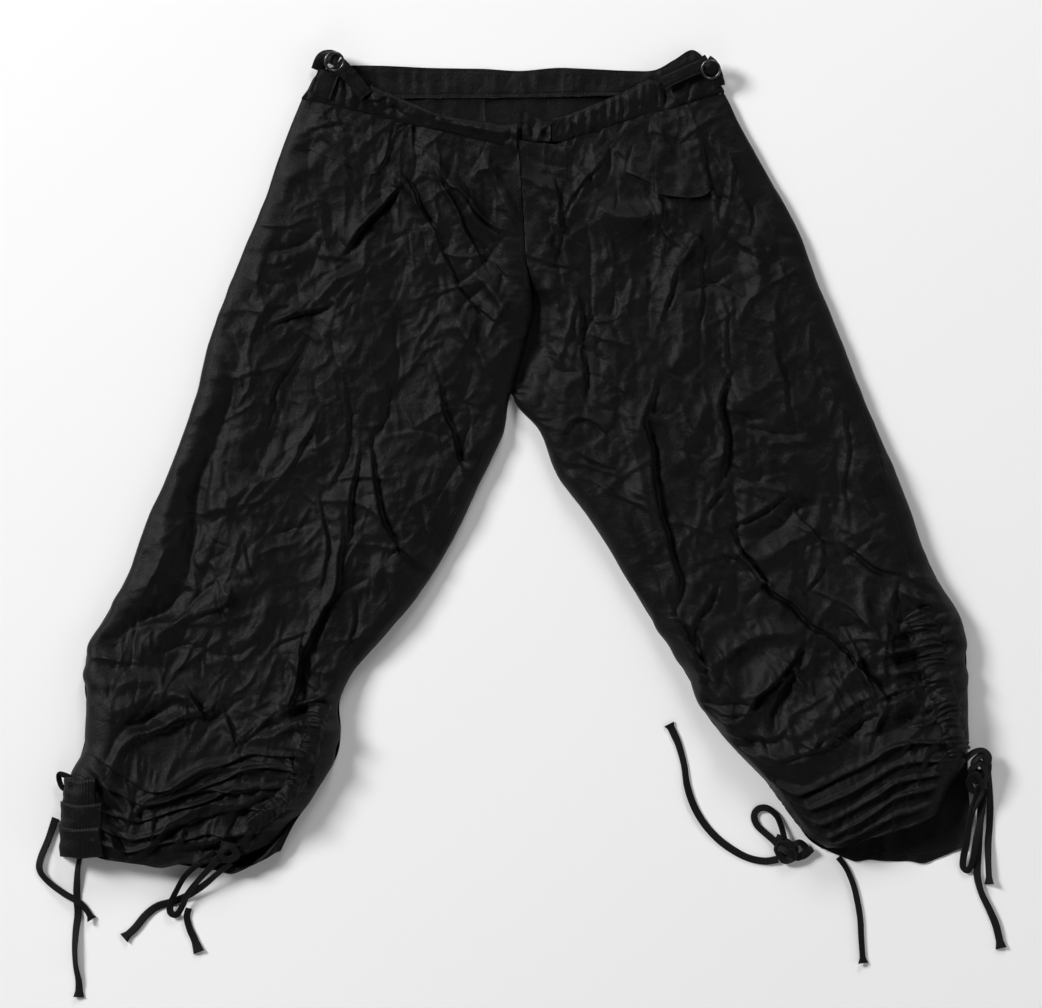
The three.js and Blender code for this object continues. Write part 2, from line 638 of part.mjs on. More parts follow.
// The back waistband, flat on the surface from its top edge to its seam.
function backBandGrid(edges) {
  return edges.map((edge) => {
    const top = place(edge.topX, edge.topY, DOUBLED);
    const low = place(edge.lowX, backSeamY(edge.lowX) - GAP, DOUBLED);
    return [top, top.clone().lerp(low, 0.5), low];
  });
}

// Board y of the back waistband's seam at x.
function backSeamY(x) {
  const outer = x < RIGHT_BACK_TOP.inX ? RIGHT_BACK_TOP : LEFT_BACK_TOP;
  return outer.inY + ((outer.outY - outer.inY) * (x - outer.inX)) / (outer.outX - outer.inX);
}

// Point at a share of the length of a row of points.
function along(points, share) {
  const station = share * (points.length - 1);
  const i = Math.min(Math.floor(station), points.length - 2);
  return points[i].clone().lerp(points[i + 1], station - i);
}

// Column number, as a share of all columns, that lies at share u of a front's width.
function columnShare(u) {
  const columns = frontColumns();
  let i = 0;
  while (i < columns.length - 2 && u > columns[i + 1]) i++;
  return (i + (u - columns[i]) / (columns[i + 1] - columns[i])) / (columns.length - 1);
}

function valueAt(rows, key, share) {
  let i = 0;
  while (i < rows.length - 2 && share > rows[i + 1].share) i++;
  const t = (share - rows[i].share) / (rows[i + 1].share - rows[i].share);
  return rows[i][key] + (rows[i + 1][key] - rows[i][key]) * t;
}

// A front waistband, grown up from the front's own top edge.
function bandGrid(front, band, stations, wrinkles) {
  const [from, to] = [band[0].share, band[band.length - 1].share];
  const grid = [];
  for (let i = 0; i <= stations; i++) {
    const share = from + ((to - from) * i) / stations;
    const seam = along(front[0], columnShare(share));
    const height = valueAt(band, 'height', share);
    const lift = valueAt(band, 'lift', share);
    const ripple = wrinkles ? wrinkleHeight(wrinkles, share) : 0;
    const row = [0, 0.5, 1].map((t) => {
      const bow = Math.sin(t * Math.PI);
      const z = seam.z + lift * t + (1 + ripple) * bow + ripple * t * 0.6;
      return new THREE.Vector3(seam.x, seam.y + GAP + height * t, z);
    });
    grid.push(row);
  }
  return grid;
}

function wrinkleHeight({ from, to, count, height }, share) {
  if (share < from || share > to) return 0;
  return (height * (1 - Math.cos(((share - from) / (to - from)) * count * 2 * Math.PI))) / 2;
}

// A strap of doubled cloth along a line of board points with heights.
function strapGrid({ line, width }) {
  const curve = new THREE.CatmullRomCurve3(line.map(([x, y, z]) => place(x, y, z)));
  const grid = [];
  for (let i = 0; i <= STRAP_SECTIONS; i++) {
    const middle = curve.getPoint(i / STRAP_SECTIONS);
    const ahead = curve.getTangent(i / STRAP_SECTIONS);
    const across = new THREE.Vector3(-ahead.y, ahead.x, 0).normalize();
    grid.push([-1, 0, 1].map((share) => middle.clone().addScaledVector(across, (share * width) / 2)));
  }
  return grid;
}

// Frames along a cord that keep its flat side level.
function levelFrames(curve, segments) {
  const frames = { tangents: [], normals: [], binormals: [] };
  for (let i = 0; i <= segments; i++) {
    const tangent = curve.getTangentAt(i / segments);
    const normal = new THREE.Vector3(0, 0, 1).addScaledVector(tangent, -tangent.z).normalize();
    frames.tangents.push(tangent);
    frames.normals.push(normal);
    frames.binormals.push(new THREE.Vector3().crossVectors(tangent, normal));
  }
  return frames;
}

function cordGeometry(route) {
  const curve = new THREE.CatmullRomCurve3(route.map(([x, y, z]) => place(x, y, z)));
  curve.computeFrenetFrames = (segments) => levelFrames(curve, segments);
  const sides = 8;
  const outline = [];
  for (let i = 0; i < sides; i++) {
    const angle = ((i + 0.5) * 2 * Math.PI) / sides;
    const reach = Math.cos(Math.PI / sides);
    const thick = (Math.cos(angle) / reach) * (CORD_THICKNESS / 2);
    outline.push(new THREE.Vector2(thick, (Math.sin(angle) / reach) * (CORD_WIDTH / 2)));
  }
  const steps = Math.max(6, Math.round(curve.getLength() / CORD_STEP));
  const options = { steps, extrudePath: curve, bevelEnabled: false };
  return new THREE.ExtrudeGeometry(new THREE.Shape(outline), options);
}

function knotMesh({ name, x, y, z, wide, long }) {
  const mesh = named(name, new THREE.SphereGeometry(1, 10, 7), BLACK_CORD);
  mesh.scale.set(wide / 2, long / 2, KNOT_HEIGHT / 2);
  mesh.position.copy(place(x, y, z));
  return mesh;
}

function ringMesh(name, { x, y, z, tilt, turn }) {
  const wire = new THREE.TorusGeometry(RING_RADIUS, RING_WIRE, RING_SIDES.wire, RING_SIDES.round);
  const mesh = named(name, wire, DARK_METAL);
  mesh.position.copy(place(x, y, z));
  mesh.rotation.set(tilt, 0, turn);
  return mesh;
}

const garment = new THREE.Group();
garment.name = 'capri_pants';

const frontRight = frontGrid(RIGHT_LINES, RIGHT_TUCKS, RIGHT_FOLDS, -1);
const frontLeft = frontGrid(LEFT_LINES, LEFT_TUCKS, LEFT_FOLDS, 1);
garment.add(named('front_right', wall(frontRight, CLOTH, FRONT_LEAN), BLACK_CLOTH));
garment.add(named('front_left', wall(frontLeft, CLOTH, FRONT_LEAN), BLACK_CLOTH));

const backRight = backGrid(RIGHT_BACK_TOP, RIGHT_LINES, RIGHT_BACK_HEM, -1);
const backLeft = backGrid(LEFT_BACK_TOP, LEFT_LINES, LEFT_BACK_HEM, 1);
garment.add(named('back_right', wall(backRight, CLOTH), BLACK_CLOTH));
garment.add(named('back_left', wall(backLeft, CLOTH), BLACK_CLOTH));

const rightBand = bandGrid(frontRight, RIGHT_BAND, BAND_STATIONS.right, null);
const leftBand = bandGrid(frontLeft, LEFT_BAND, BAND_STATIONS.left, BAND_WRINKLES);
const underlap = bandGrid(frontLeft, UNDERLAP_BAND, BAND_STATIONS.underlap, null);
garment.add(named('waistband_front_right', wall(rightBand, DOUBLED), BLACK_CLOTH));
garment.add(named('waistband_front_left', wall(leftBand, DOUBLED), BLACK_CLOTH));
garment.add(named('waistband_back', wall(backBandGrid(BACK_BAND), DOUBLED), BLACK_CLOTH));
garment.add(named('fly_underlap', wall(underlap, DOUBLED), BLACK_CLOTH));

const rightFlap = laidGrid(RIGHT_FLAP, frontRight, FLAP_LIFTS.right);
const leftFlap = laidGrid(LEFT_FLAP, frontLeft, FLAP_LIFTS.left);
garment.add(named('pocket_flap_right', wall(rightFlap, CLOTH), BLACK_CLOTH));
garment.add(named('pocket_flap_left', wall(leftFlap, CLOTH), BLACK_CLOTH));

const CHANNEL_FRONTS = {
  outerLeft: frontLeft, innerLeft: frontLeft, innerRight: frontRight, outerRight: frontRight,
};
const CHANNEL_NAMES = {
  outerLeft: 'channel_outer_left', innerLeft: 'channel_inner_left',
  innerRight: 'channel_inner_right', outerRight: 'channel_outer_right',
};
for (const [key, channel] of Object.entries(CHANNELS)) {
  const grid = channelGrid(channel, CHANNEL_FRONTS[key]);
  garment.add(named(CHANNEL_NAMES[key], wall(grid, CLOTH), BLACK_CLOTH));
}
for (const [name, strap] of Object.entries(STRAPS)) {
  garment.add(named(name, wall(strapGrid(strap), DOUBLED), BLACK_CLOTH));
}
for (const [name, ring] of Object.entries(RINGS)) garment.add(ringMesh(name, ring));
for (const knot of KNOTS) garment.add(knotMesh(knot));
for (const [name, route] of Object.entries(CORDS)) {
  garment.add(named(name, cordGeometry(route), BLACK_CORD));
}

export default garment;
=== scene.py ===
"""Looks of the black cotton capri pants that lie flat on a pale floor.

Lengths in the tables are board millimetres: x runs to the wearer's left and y from the waist to
the hems, as in the part's source. place() turns them into the frame's metres, with +Z up.
"""
import math

import bpy
import numpy as np
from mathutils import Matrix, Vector
from mathutils.bvhtree import BVHTree


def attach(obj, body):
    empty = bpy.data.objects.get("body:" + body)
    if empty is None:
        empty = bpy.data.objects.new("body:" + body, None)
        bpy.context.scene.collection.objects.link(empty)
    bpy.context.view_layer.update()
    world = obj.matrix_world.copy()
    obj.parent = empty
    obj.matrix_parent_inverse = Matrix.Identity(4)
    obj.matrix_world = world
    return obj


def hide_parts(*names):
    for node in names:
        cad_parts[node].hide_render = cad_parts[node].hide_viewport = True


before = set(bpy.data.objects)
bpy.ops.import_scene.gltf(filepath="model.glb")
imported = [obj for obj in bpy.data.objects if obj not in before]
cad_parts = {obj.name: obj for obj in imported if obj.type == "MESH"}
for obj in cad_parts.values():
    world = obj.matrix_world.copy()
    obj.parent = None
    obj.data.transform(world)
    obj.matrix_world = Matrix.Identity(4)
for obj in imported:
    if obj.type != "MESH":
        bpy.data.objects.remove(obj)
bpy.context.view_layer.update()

MM = 0.001
BOARD_X, BOARD_Y = 516.25, 461.65  # board point over the middle of the garment
DOUBLED = 2.1  # thickness of the front bands, of two layers
BACK_BAND_WALL, FLAP_WALL, STRAP_WALL = 1.7, 0.9, 1.9
CURL = 2.6  # how far the backs' edges curl up
EDGE_TOP = 6.1  # top of a front's edge, on the curled back
ROLL = 24.0  # width over which a front rounds down to its edge
CROTCH_Y = 394.0
FRONT_LOWEST, BACK_LOWEST = 3.2, 0.6  # no cloth of a front or a back lies lower
FRONT_GAP, BACK_GAP = 0.4, 0.5  # from the middle seam to the leg's edge
SEAM_GAP = 0.3  # between a band and the edge that it grows from
SMALL_CREASES = 430  # on each front
RAY_HEIGHT = 200.0  # rays that look for the cloth beneath a piece start here
TUCKS = 6  # lines at the end of each table of lines that are tuck edges or the hem
CORD_WIDTH = 7.0
CORD_THICKNESS = 2.0
KNOT_THICKNESS = 2.2
CORD_CLEARANCE = 0.3  # between the floor and the lowest edge of a cord
RING_RADIUS = 9.0
RING_WIRE = 1.2  # radius of the ring's wire

# How fine the pieces are: spacings in millimetres, and points across a piece.
LEG_STEP, CHANNEL_STEP, RIBBON_STEP, KNOT_STEP, CORD_STEP = 1.7, 0.7, 0.8, 1.2, 1.6
LEG_EDGE, LEG_MIDDLE = 9, 142
BACK_ROWS, BACK_EDGE, BACK_MIDDLE = 200, 7, 56
BAND_STATIONS, BAND_HEIGHT = 190, 25
BACK_BAND_STATIONS, BACK_BAND_HEIGHT = 260, 26
CHANNEL_WIDTH, FLAP_HEIGHT, STRAP_WIDTH = 33, 48, 25
BLOCK_ROWS, BLOCK_WIDTH = 34, 46


def numbers(text):
    """Rows of numbers, with a comma or a new line between two rows."""
    return np.array([row.split() for row in text.strip().replace("\n", ",").split(",")], float)


def creases_of(text):
    """Creases, one to a line: kind, half the width, height, and the points it runs through."""
    creases = []
    for line in text.strip().splitlines():
        head, points = line.split(":")
        kind, width, height = head.split()
        creases.append((kind, float(width), float(height), numbers(points)))
    return creases


def table(names, rows):
    """Columns of a table by name."""
    return dict(zip(names.split(), np.array(rows, float).T))


# Middle seam of the fronts and of the backs, from the waist to the crotch.
FRONT_CENTRE = numbers("518 138, 521 182, 524 227, 525 256, 532 290, 534 312, 524 350, 511 398")
BACK_CENTRE = numbers("484 96, 486 125, 500 210, 508 300, 511 398")

COLUMNS = "outX outY inX inY outSag inSag loft inZ rise"
# Lines across each leg from the waist seam to the hem. Those with a rise are tuck edges.
RIGHT_LINES = table(COLUMNS, numbers("""
302 100 517 150 0 0 11 12 0
285 142 521 184 0 2 13 13 0
266 198 524 227 0 0 14 13 0
245 248 525 262 0 0 15 13 0
226 296 532 300 0 0 16 7 0
209 343 529 345 0 0 17 4.5 0
198 390 510 396 0 0 18 5 0
183 436 503 434 0 0 19 6.3 0
165 482 481 480 0 0 20 6.3 0
147 521 458 530 0 0 21 6.3 0
131 568 427 583 0 0 22 6.3 0
110 609 388 632 4 4 23 6.3 0
89 647 353 672 8 6 24 6.3 0
85 684 340 701 10 6 26 6.3 0
88 716 341 731 14 4 28 6.3 0
82 752 335 758 36 -4 28 7 6
72 772 328 773 34 -6 27 7 5.6
66 792 317 791 30 -6 26 7.5 5.6
63 812 305 808 28 0 24 8 5.4
64 832 286 826 22 4 21 10 5
74 849 273 845 18 17 18 11 0
"""))
LEFT_LINES = table(COLUMNS, numbers("""
724 93 519 141 5 13 11 13 0
743 132 522 180 4 8 13 14 0
772 184 524 226 0 4 14 13 0
798 231 525 262 0 0 15 13 0
816 280 532 300 0 0 16 7 0
838 333 529 345 0 0 17 4.5 0
860 390 513 396 0 0 18 5 0
877 431 540 432 0 0 19 6.3 0
896 474 557 475 0 0 20 6.3 0
911 513 588 517 0 0 21 6.3 0
924 552 616 560 0 0 22 6.3 0
942 589 642 604 0 0 24 6.3 0
961 620 668 645 0 4 25 6.3 0
966 656 690 681 0 8 27 6.3 0
966 692 706 714 0 12 28 6.3 0
966 720 733 747 0 20 29 6.3 0
968 741 757 772 -8 29 29 8 6
966 757 772 788 -4 27 28 8 6
960 770 786 806 -3 25 26 8 6
952 782 799 822 -2 23 24 8 6
945 797 812 838 2 13 22 8 5.5
938 812 826 847 5 6 20 9 0
"""))
# Lines of each back past its front's last plain line, and how far both edges curl up there.
BACK_COLUMNS = "outX outY inX inY outSag inSag outCurl inCurl"
RIGHT_BACK_HEM = table(BACK_COLUMNS, [
    (82, 752, 336, 758, 10, 6, CURL, CURL),
    (64, 795, 313, 796, 14, 14, CURL, 3),
    (62, 826, 295, 822, 16, 30, CURL, 4),
    (74, 845, 281, 850, 14, 26, CURL, 5),
])
LEFT_BACK_HEM = table(BACK_COLUMNS, [
    (967, 742, 756, 770, 4, 8, CURL, 3.2),
    (968, 785, 786, 806, 6, 12, 3, 4.4),
    (970, 826, 806, 836, 12, 14, 4, 5.2),
    (964, 848, 822, 848, 16, 14, 3, 5.8),
])
# Top edge of each back: x and y at its outer and at its inner end.
RIGHT_BACK_TOP = (302, 99.5, 484, 98.5)
LEFT_BACK_TOP = (723, 94, 484, 98.5)

# Creases placed one by one. A "fold" steps down towards the lower right, a "dip" is a trough and a
# "ridge" stands up.
RIGHT_CREASES = creases_of("""
ridge 8 4.6: 98 724, 122 709, 154 696, 183 696, 194 706
dip 7 5.4: 102 764, 122 735, 150 715, 172 707
ridge 5 4.0: 110 773, 121 748, 137 734, 171 720, 192 709
fold 5 3.8: 190 686, 199 706, 209 711, 223 700
ridge 7 3.4: 275 724, 284 700, 296 674
fold 6 5.2: 304 636, 301 671, 288 699, 289 716
fold 4 2.4: 226 706, 240 738, 265 715
ridge 4 2.8: 240 743, 285 728, 312 717
fold 4 3.2: 136 756, 154 771, 163 778
fold 9 8.5: 398 190, 376 216, 346 248
dip 4 3.4: 323 233, 296 246, 268 255
ridge 8 5.5: 362 264, 336 286, 308 309
fold 6 4.4: 333 304, 304 314, 273 328
ridge 6 6.5: 393 172, 406 190, 424 210
ridge 9 9.5: 424 150, 458 196, 498 242
ridge 7 7.0: 484 152, 500 184, 516 226
fold 6 4.4: 401 172, 420 206, 440 238
fold 5 3.6: 438 236, 449 266, 468 300, 500 326
fold 5 3.4: 435 172, 454 206, 471 244, 488 272
fold 6 4.0: 452 190, 478 212, 505 238
ridge 10 8.0: 444 296, 468 336, 496 380
ridge 8 7.0: 468 258, 492 292, 512 320
dip 9 3.2: 380 290, 410 330, 430 372
ridge 12 3.4: 344 330, 372 372, 386 420
fold 8 2.2: 345 378, 349 438, 334 482
fold 7 2.0: 386 380, 391 410, 374 434
fold 7 2.2: 320 412, 306 442, 290 472
dip 13 10.0: 236 372, 222 430, 203 470, 195 520, 192 560, 183 588
dip 15 11.0: 185 584, 166 608, 136 628, 102 648
ridge 13 4.2: 252 352, 236 392, 240 430
ridge 15 5.0: 180 462, 166 520, 162 566
ridge 12 3.2: 236 470, 222 520, 214 588
fold 13 7.0: 343 536, 336 590, 322 614, 306 654, 288 700
fold 8 4.6: 357 458, 352 500, 350 538
fold 10 5.2: 370 440, 378 500, 393 541, 428 572
fold 10 4.2: 437 378, 452 436, 470 486
ridge 7 2.4: 464 408, 476 456
ridge 7 3.2: 199 516, 246 490, 292 466, 326 446
ridge 4 1.6: 240 512, 280 479, 319 418
fold 7 3.2: 322 500, 327 550, 321 588
ridge 8 3.0: 336 486, 342 540
fold 5 1.8: 211 539, 230 547
fold 6 2.2: 244 540, 252 566, 260 588
fold 6 2.0: 233 568, 243 580, 252 593
ridge 9 3.0: 196 564, 222 545
fold 7 2.6: 232 590, 230 604, 196 618
ridge 11 4.0: 134 658, 192 614, 246 590
ridge 10 3.0: 274 594, 262 620, 246 648
fold 6 1.6: 300 634, 276 649
ridge 8 3.0: 322 634, 336 598, 345 560
fold 6 2.4: 352 592, 354 626, 344 650
ridge 9 2.8: 358 582, 384 572, 408 576
ridge 10 4.2: 100 760, 130 720, 184 698, 198 706
fold 9 3.6: 198 716, 150 730, 116 758
ridge 8 3.2: 122 750, 148 728, 192 714
fold 7 3.2: 192 697, 210 716, 224 704
fold 7 3.4: 226 710, 241 743, 274 714
ridge 8 3.2: 240 738, 266 718, 290 698
ridge 12 4.0: 104 690, 140 682, 188 686
dip 12 3.6: 100 668, 136 664, 176 668
fold 8 2.6: 140 756, 160 778
fold 6 2.6: 128 824, 136 800
fold 6 2.8: 150 842, 158 812
fold 6 3.0: 184 846, 187 822
fold 7 3.2: 172 852, 218 841, 234 824
ridge 8 3.0: 206 808, 240 802, 270 796
ridge 1.8 0.9: 500 430, 468 496, 424 579, 386 630, 346 674
dip 2.0 0.8: 494 432, 463 494, 419 576, 381 626, 342 668
fold 6 1.8: 298 138, 318 128, 340 124
ridge 8 2.4: 282 188, 300 172, 318 168
dip 8 2.6: 322 190, 336 230, 352 268
ridge 4 4.6: 132 810, 143 805, 170 787, 193 772, 220 763, 247 768, 293 778
fold 4 4.0: 130 816, 147 807, 170 800, 190 791, 227 791, 260 785
ridge 4.5 6.0: 133 857, 157 837, 170 823, 193 810, 217 807, 238 811
dip 4.5 4.6: 144 856, 168 834, 194 820, 222 816
ridge 3.5 3.6: 175 853, 178 840, 188 824, 200 811
ridge 4 4.4: 180 843, 207 837, 235 832
dip 4 4.4: 186 850, 212 845, 238 840
ridge 5 7.0: 240 842, 250 823, 267 810, 293 800, 301 790
dip 4 5.4: 232 834, 242 815, 260 801, 286 792
ridge 4 5.0: 250 848, 261 829, 274 819, 292 814
ridge 3.5 4.6: 288 752, 298 772, 300 790
dip 3.5 4.0: 294 748, 306 770, 308 790
ridge 4 5.0: 298 716, 308 742, 315 786
ridge 4 4.6: 94 764, 107 783, 118 801, 132 814
dip 4 5.0: 90 772, 101 790, 112 808, 126 822
dip 5 6.0: 108 818, 121 837, 129 856
ridge 4 4.6: 100 826, 112 842, 119 858
dip 4 4.4: 138 798, 147 822
ridge 3.5 3.6: 137 758, 142 776, 146 792
ridge 3.5 4.4: 282 714, 300 702, 330 694
dip 3.5 4.0: 288 722, 306 710, 332 702
ridge 3.5 3.6: 262 740, 288 730, 318 726
fold 5 2.2: 374 176, 390 152, 392 128
fold 5 2.2: 398 132, 412 122, 415 156
ridge 6 2.0: 404 124, 405 158
dip 6 2.4: 378 186, 386 216
ridge 10 2.8: 262 300, 250 340
fold 8 2.4: 300 348, 276 392, 262 430
""")
LEFT_CREASES = creases_of("""
fold 5 3.0: 884 622, 885 656, 884 692
fold 6 3.4: 897 584, 892 602, 888 622
ridge 8 3.8: 862 590, 868 640, 874 690
fold 6 3.0: 839 623, 856 652, 867 675, 873 699
ridge 5 4.2: 872 703, 896 700, 920 694
dip 7 5.6: 922 701, 902 720, 880 737
fold 5 3.2: 884 708, 874 728, 867 749
fold 6 3.4: 826 726, 846 708, 866 697
ridge 3 2.0: 808 747, 828 728
fold 4 2.2: 828 727, 846 738, 865 754
ridge 4.5 5.0: 897 757, 908 733, 932 719
ridge 4.5 5.0: 917 774, 928 746, 946 733
ridge 3.5 4.0: 932 776, 938 758, 950 748
dip 4 4.6: 893 762, 904 748, 916 735
dip 4 4.6: 923 770, 932 752, 940 744
ridge 10 4.2: 782 735, 806 729, 832 696, 852 668
dip 11 10.0: 538 288, 533 330, 520 390
dip 15 6.0: 541 316, 535 360, 522 400
ridge 7 3.6: 564 224, 586 186, 614 154
fold 8 2.6: 612 152, 582 186, 562 216
ridge 13 9.5: 596 210, 628 220, 664 214
ridge 7 9.0: 676 274, 686 254, 698 232
fold 8 3.4: 676 270, 670 296, 661 320
fold 5 2.0: 701 232, 702 300, 699 362
fold 6 2.0: 720 296, 728 330, 727 366
fold 8 3.2: 580 294, 582 348, 589 408
ridge 12 3.4: 612 268, 614 330, 622 394
fold 7 2.4: 552 176, 560 210, 556 262
fold 6 2.0: 528 256, 548 264, 574 270
ridge 7 2.0: 540 280, 556 300, 562 330
dip 7 2.6: 638 240, 650 290, 646 340
ridge 9 2.6: 752 250, 768 300, 780 360
fold 8 2.4: 770 330, 784 380, 790 430
fold 12 5.6: 653 388, 646 424, 652 448, 655 490, 666 540, 677 580, 675 612
fold 10 5.0: 675 610, 689 642, 703 676, 707 700
ridge 12 4.2: 632 420, 642 490, 656 560
fold 8 3.6: 716 578, 706 606, 692 626, 697 658
fold 10 5.6: 729 378, 721 400, 726 440, 722 462, 716 484
ridge 10 5.0: 726 396, 740 400, 752 412
dip 6 3.4: 736 412, 748 420, 764 418
ridge 9 3.0: 692 442, 707 398
fold 7 2.6: 706 514, 712 499, 720 492
fold 8 3.2: 728 530, 756 514, 784 497
dip 9 6.0: 742 545, 778 530, 800 508, 826 508
ridge 8 3.6: 748 558, 784 546, 812 528
fold 6 2.6: 780 482, 800 514, 819 540, 829 566
fold 6 2.4: 829 566, 814 580, 800 594
fold 8 6.4: 732 534, 752 569, 782 600, 829 636
fold 8 5.4: 829 636, 866 673, 886 700
fold 9 4.0: 845 546, 870 565, 896 573
ridge 10 3.6: 866 580, 868 620, 876 660
fold 8 8.0: 800 644, 789 666, 759 689, 751 714
dip 5 7.0: 793 672, 779 706, 771 734
ridge 8 5.5: 776 662, 756 684
ridge 9 6.0: 712 668, 744 642, 800 630
dip 15 4.0: 726 664, 760 656
dip 17 4.6: 806 672, 838 680
ridge 10 4.2: 806 750, 842 716, 866 698
fold 9 3.2: 812 760, 850 726, 876 712
fold 6 2.0: 842 378, 846 450, 846 526
ridge 1.8 1.0: 855 380, 881 466, 901 536, 917 594
dip 2.0 0.9: 851 381, 877 467, 897 537, 913 595
fold 6 2.2: 540 408, 550 436, 561 462
fold 6 2.4: 560 442, 580 416, 610 441
fold 6 2.2: 580 455, 614 471
fold 8 3.4: 702 696, 720 712, 746 716
fold 8 3.6: 706 712, 730 733, 766 739, 788 725
ridge 10 3.8: 758 764, 800 758, 834 742
fold 7 3.0: 868 750, 876 726, 888 706
ridge 8 3.2: 880 736, 892 712, 912 694
fold 7 3.0: 872 700, 896 692, 920 688
ridge 8 3.0: 884 604, 882 640, 890 668
fold 7 2.6: 896 606, 892 640, 900 672
ridge 9 3.0: 596 470, 624 520, 650 572
ridge 11 3.2: 780 430, 796 466, 806 500
dip 9 2.4: 812 420, 836 470, 864 520
fold 7 2.0: 700 560, 730 556, 748 580
ridge 8 2.4: 628 150, 622 180
fold 6 2.0: 724 130, 734 170, 730 210
fold 6 2.2: 742 196, 752 214, 748 236
ridge 10 2.6: 712 214, 738 226, 760 260
dip 7 8.0: 764 770, 784 780, 812 786, 838 778
ridge 6 6.0: 760 752, 786 760, 820 756, 852 738
dip 6 5.0: 698 694, 716 706, 742 712
ridge 5 4.0: 694 704, 712 716, 738 722
dip 6 5.0: 712 730, 732 744, 756 748
ridge 5 4.4: 900 590, 918 600, 936 604
dip 5 5.0: 888 640, 904 634, 920 638
dip 5 5.0: 892 664, 908 656, 926 660
ridge 5 4.4: 886 652, 904 645, 922 648
dip 5 5.4: 896 690, 914 682, 934 686
ridge 5 4.4: 892 678, 910 668, 930 672
ridge 4 3.6: 688 660, 700 650, 704 636
dip 5 4.0: 672 628, 690 640, 700 668
""")

# Creases of the front waistbands, as those of the legs.
BAND_CREASES = creases_of("""
dip 3.5 3.4: 438 110, 446 124, 456 141
dip 2.5 3.4: 510 128, 507 141, 502 154
ridge 5 2.6: 370 98, 386 91, 404 99, 424 111, 442 119
ridge 5 2.2: 464 124, 484 134, 500 148
dip 3 3.2: 376 112, 392 106, 403 117
fold 3 2.6: 371 100, 379 100, 386 93
dip 2.5 2.8: 363 93, 370 84
dip 5 3.6: 480 124, 495 128, 512 126
fold 3 2.2: 318 131, 320 122, 329 117
ridge 4 2.0: 346 100, 360 96, 372 100
dip 3 3.8: 662 84, 665 98, 664 116
dip 2.5 2.6: 653 80, 656 96, 657 112
ridge 3 2.4: 670 92, 676 100, 672 108
dip 3 2.4: 668 96, 660 82
dip 3 2.6: 620 100, 622 112, 620 124
dip 2.5 2.2: 688 84, 690 96, 686 106
dip 2.5 3.0: 569 118, 574 130, 574 142
ridge 2.5 2.2: 577 114, 576 128, 570 140
dip 3 3.0: 527 118, 530 130, 528 142
dip 2.5 3.0: 542 128, 544 140
ridge 2.0 2.2: 534 140, 540 128, 547 124
""")

# Creases of the backs' hems, where they show past the fronts.
BACK_CREASES = creases_of("""
ridge 8 12.0: 226 876, 252 866, 272 850, 287 830, 298 808
dip 4 3.0: 262 846, 272 838, 280 828
ridge 4 4.5: 228 862, 240 872, 256 876
ridge 5 4.0: 90 858, 98 866, 112 872
ridge 4 3.5: 140 866, 150 876, 164 882
""")

GATHERS_LEFT = 0.62  # share of a channel's gathers that stands in the cloth beside it
# Gathered channels: leg, the line it follows, widths at both ends, gathers and their height.
CHANNELS = {
    "channel_outer_left": ("left", numbers("917 608, 925 638, 934 668, 943 702, 950 730, 957 752"),
                           36, 26, 21, 4.4),
    "channel_inner_right": ("right", numbers("321 702, 316 728, 308 756, 296 782, 276 806, 252 826"),
                            24, 18, 13, 4.6),
    "channel_outer_right": ("right", numbers("88 770, 85 798, 82 826, 82 842"), 34, 38, 3, 6.0),
    "channel_inner_left": ("left", numbers("770 780, 785 800, 800 821, 815 836"), 9, 9, 6, 1.6),
}


def place(x, y, z):
    """Board millimetres to the frame's metres."""
    x, y, z = (np.asarray(value, float) for value in (x, y, z))
    return np.stack(np.broadcast_arrays((x - BOARD_X) * MM, (BOARD_Y - y) * MM, z * MM), axis=-1)


def smooth_value(values, r):
    """Smooth curve through values at whole numbers, read at r."""
    last = len(values) - 1
    i = np.clip(np.floor(r).astype(int), 0, last - 1)
    t = r - i
    a, b = values[np.clip(i - 1, 0, last)], values[i]
    c, d = values[i + 1], values[np.clip(i + 2, 0, last)]
    rise = (c - a) / 2
    cubic = (3 * (b - c) + d - a) / 2
    bend = (c - b) - rise - cubic
    return b + rise * t + bend * t * t + cubic * t * t * t


def read_at(lines, names, r):
    """Some columns of a table of lines, read at r."""
    return [smooth_value(lines[name], r) for name in names.split()]


def smoothstep(t):
    """0 to 1, level at both ends."""
    t = np.clip(t, 0, 1)
    return t * t * (3 - 2 * t)


def wander(position, seed, scale):
    """Smooth noise along a line, between about -1 and 1."""
    values = np.random.RandomState(seed).uniform(-1, 1, 64)
    return smooth_value(values, np.mod(position / scale, 61) + 1)


def hump(u, at, before, after):
    """1 at its place and 0 at both ends, straight on both sides with a rounded tip."""
    t = np.clip(np.where(u < at, (at - u) / before, (u - at) / after), 0, 1)
    tip = np.sqrt(t * t + 0.006)
    foot = smoothstep((1 - t) / 0.25)
    return np.clip(1.03 - tip, 0, 1) * (0.5 + 0.5 * foot)


# Where across each leg a line sags most, and how far that reaches to both sides.
SAG_OUTER = {-1: (0.29, 0.27, 0.40), 1: (0.27, 0.27, 0.38)}
SAG_INNER = {-1: (0.76, 0.40, 0.24), 1: (0.81, 0.45, 0.19)}


def sag_at(u, outer, inner, side):
    """How far a line across a leg sags towards the hem."""
    return outer * hump(u, *SAG_OUTER[side]) + inner * hump(u, *SAG_INNER[side])


def quarter_round(t):
    """0 to 1 along a quarter of a circle."""
    s = np.clip(t, 0, 1)
    return np.sqrt(np.clip(1 - (1 - s) ** 2, 0, 1))


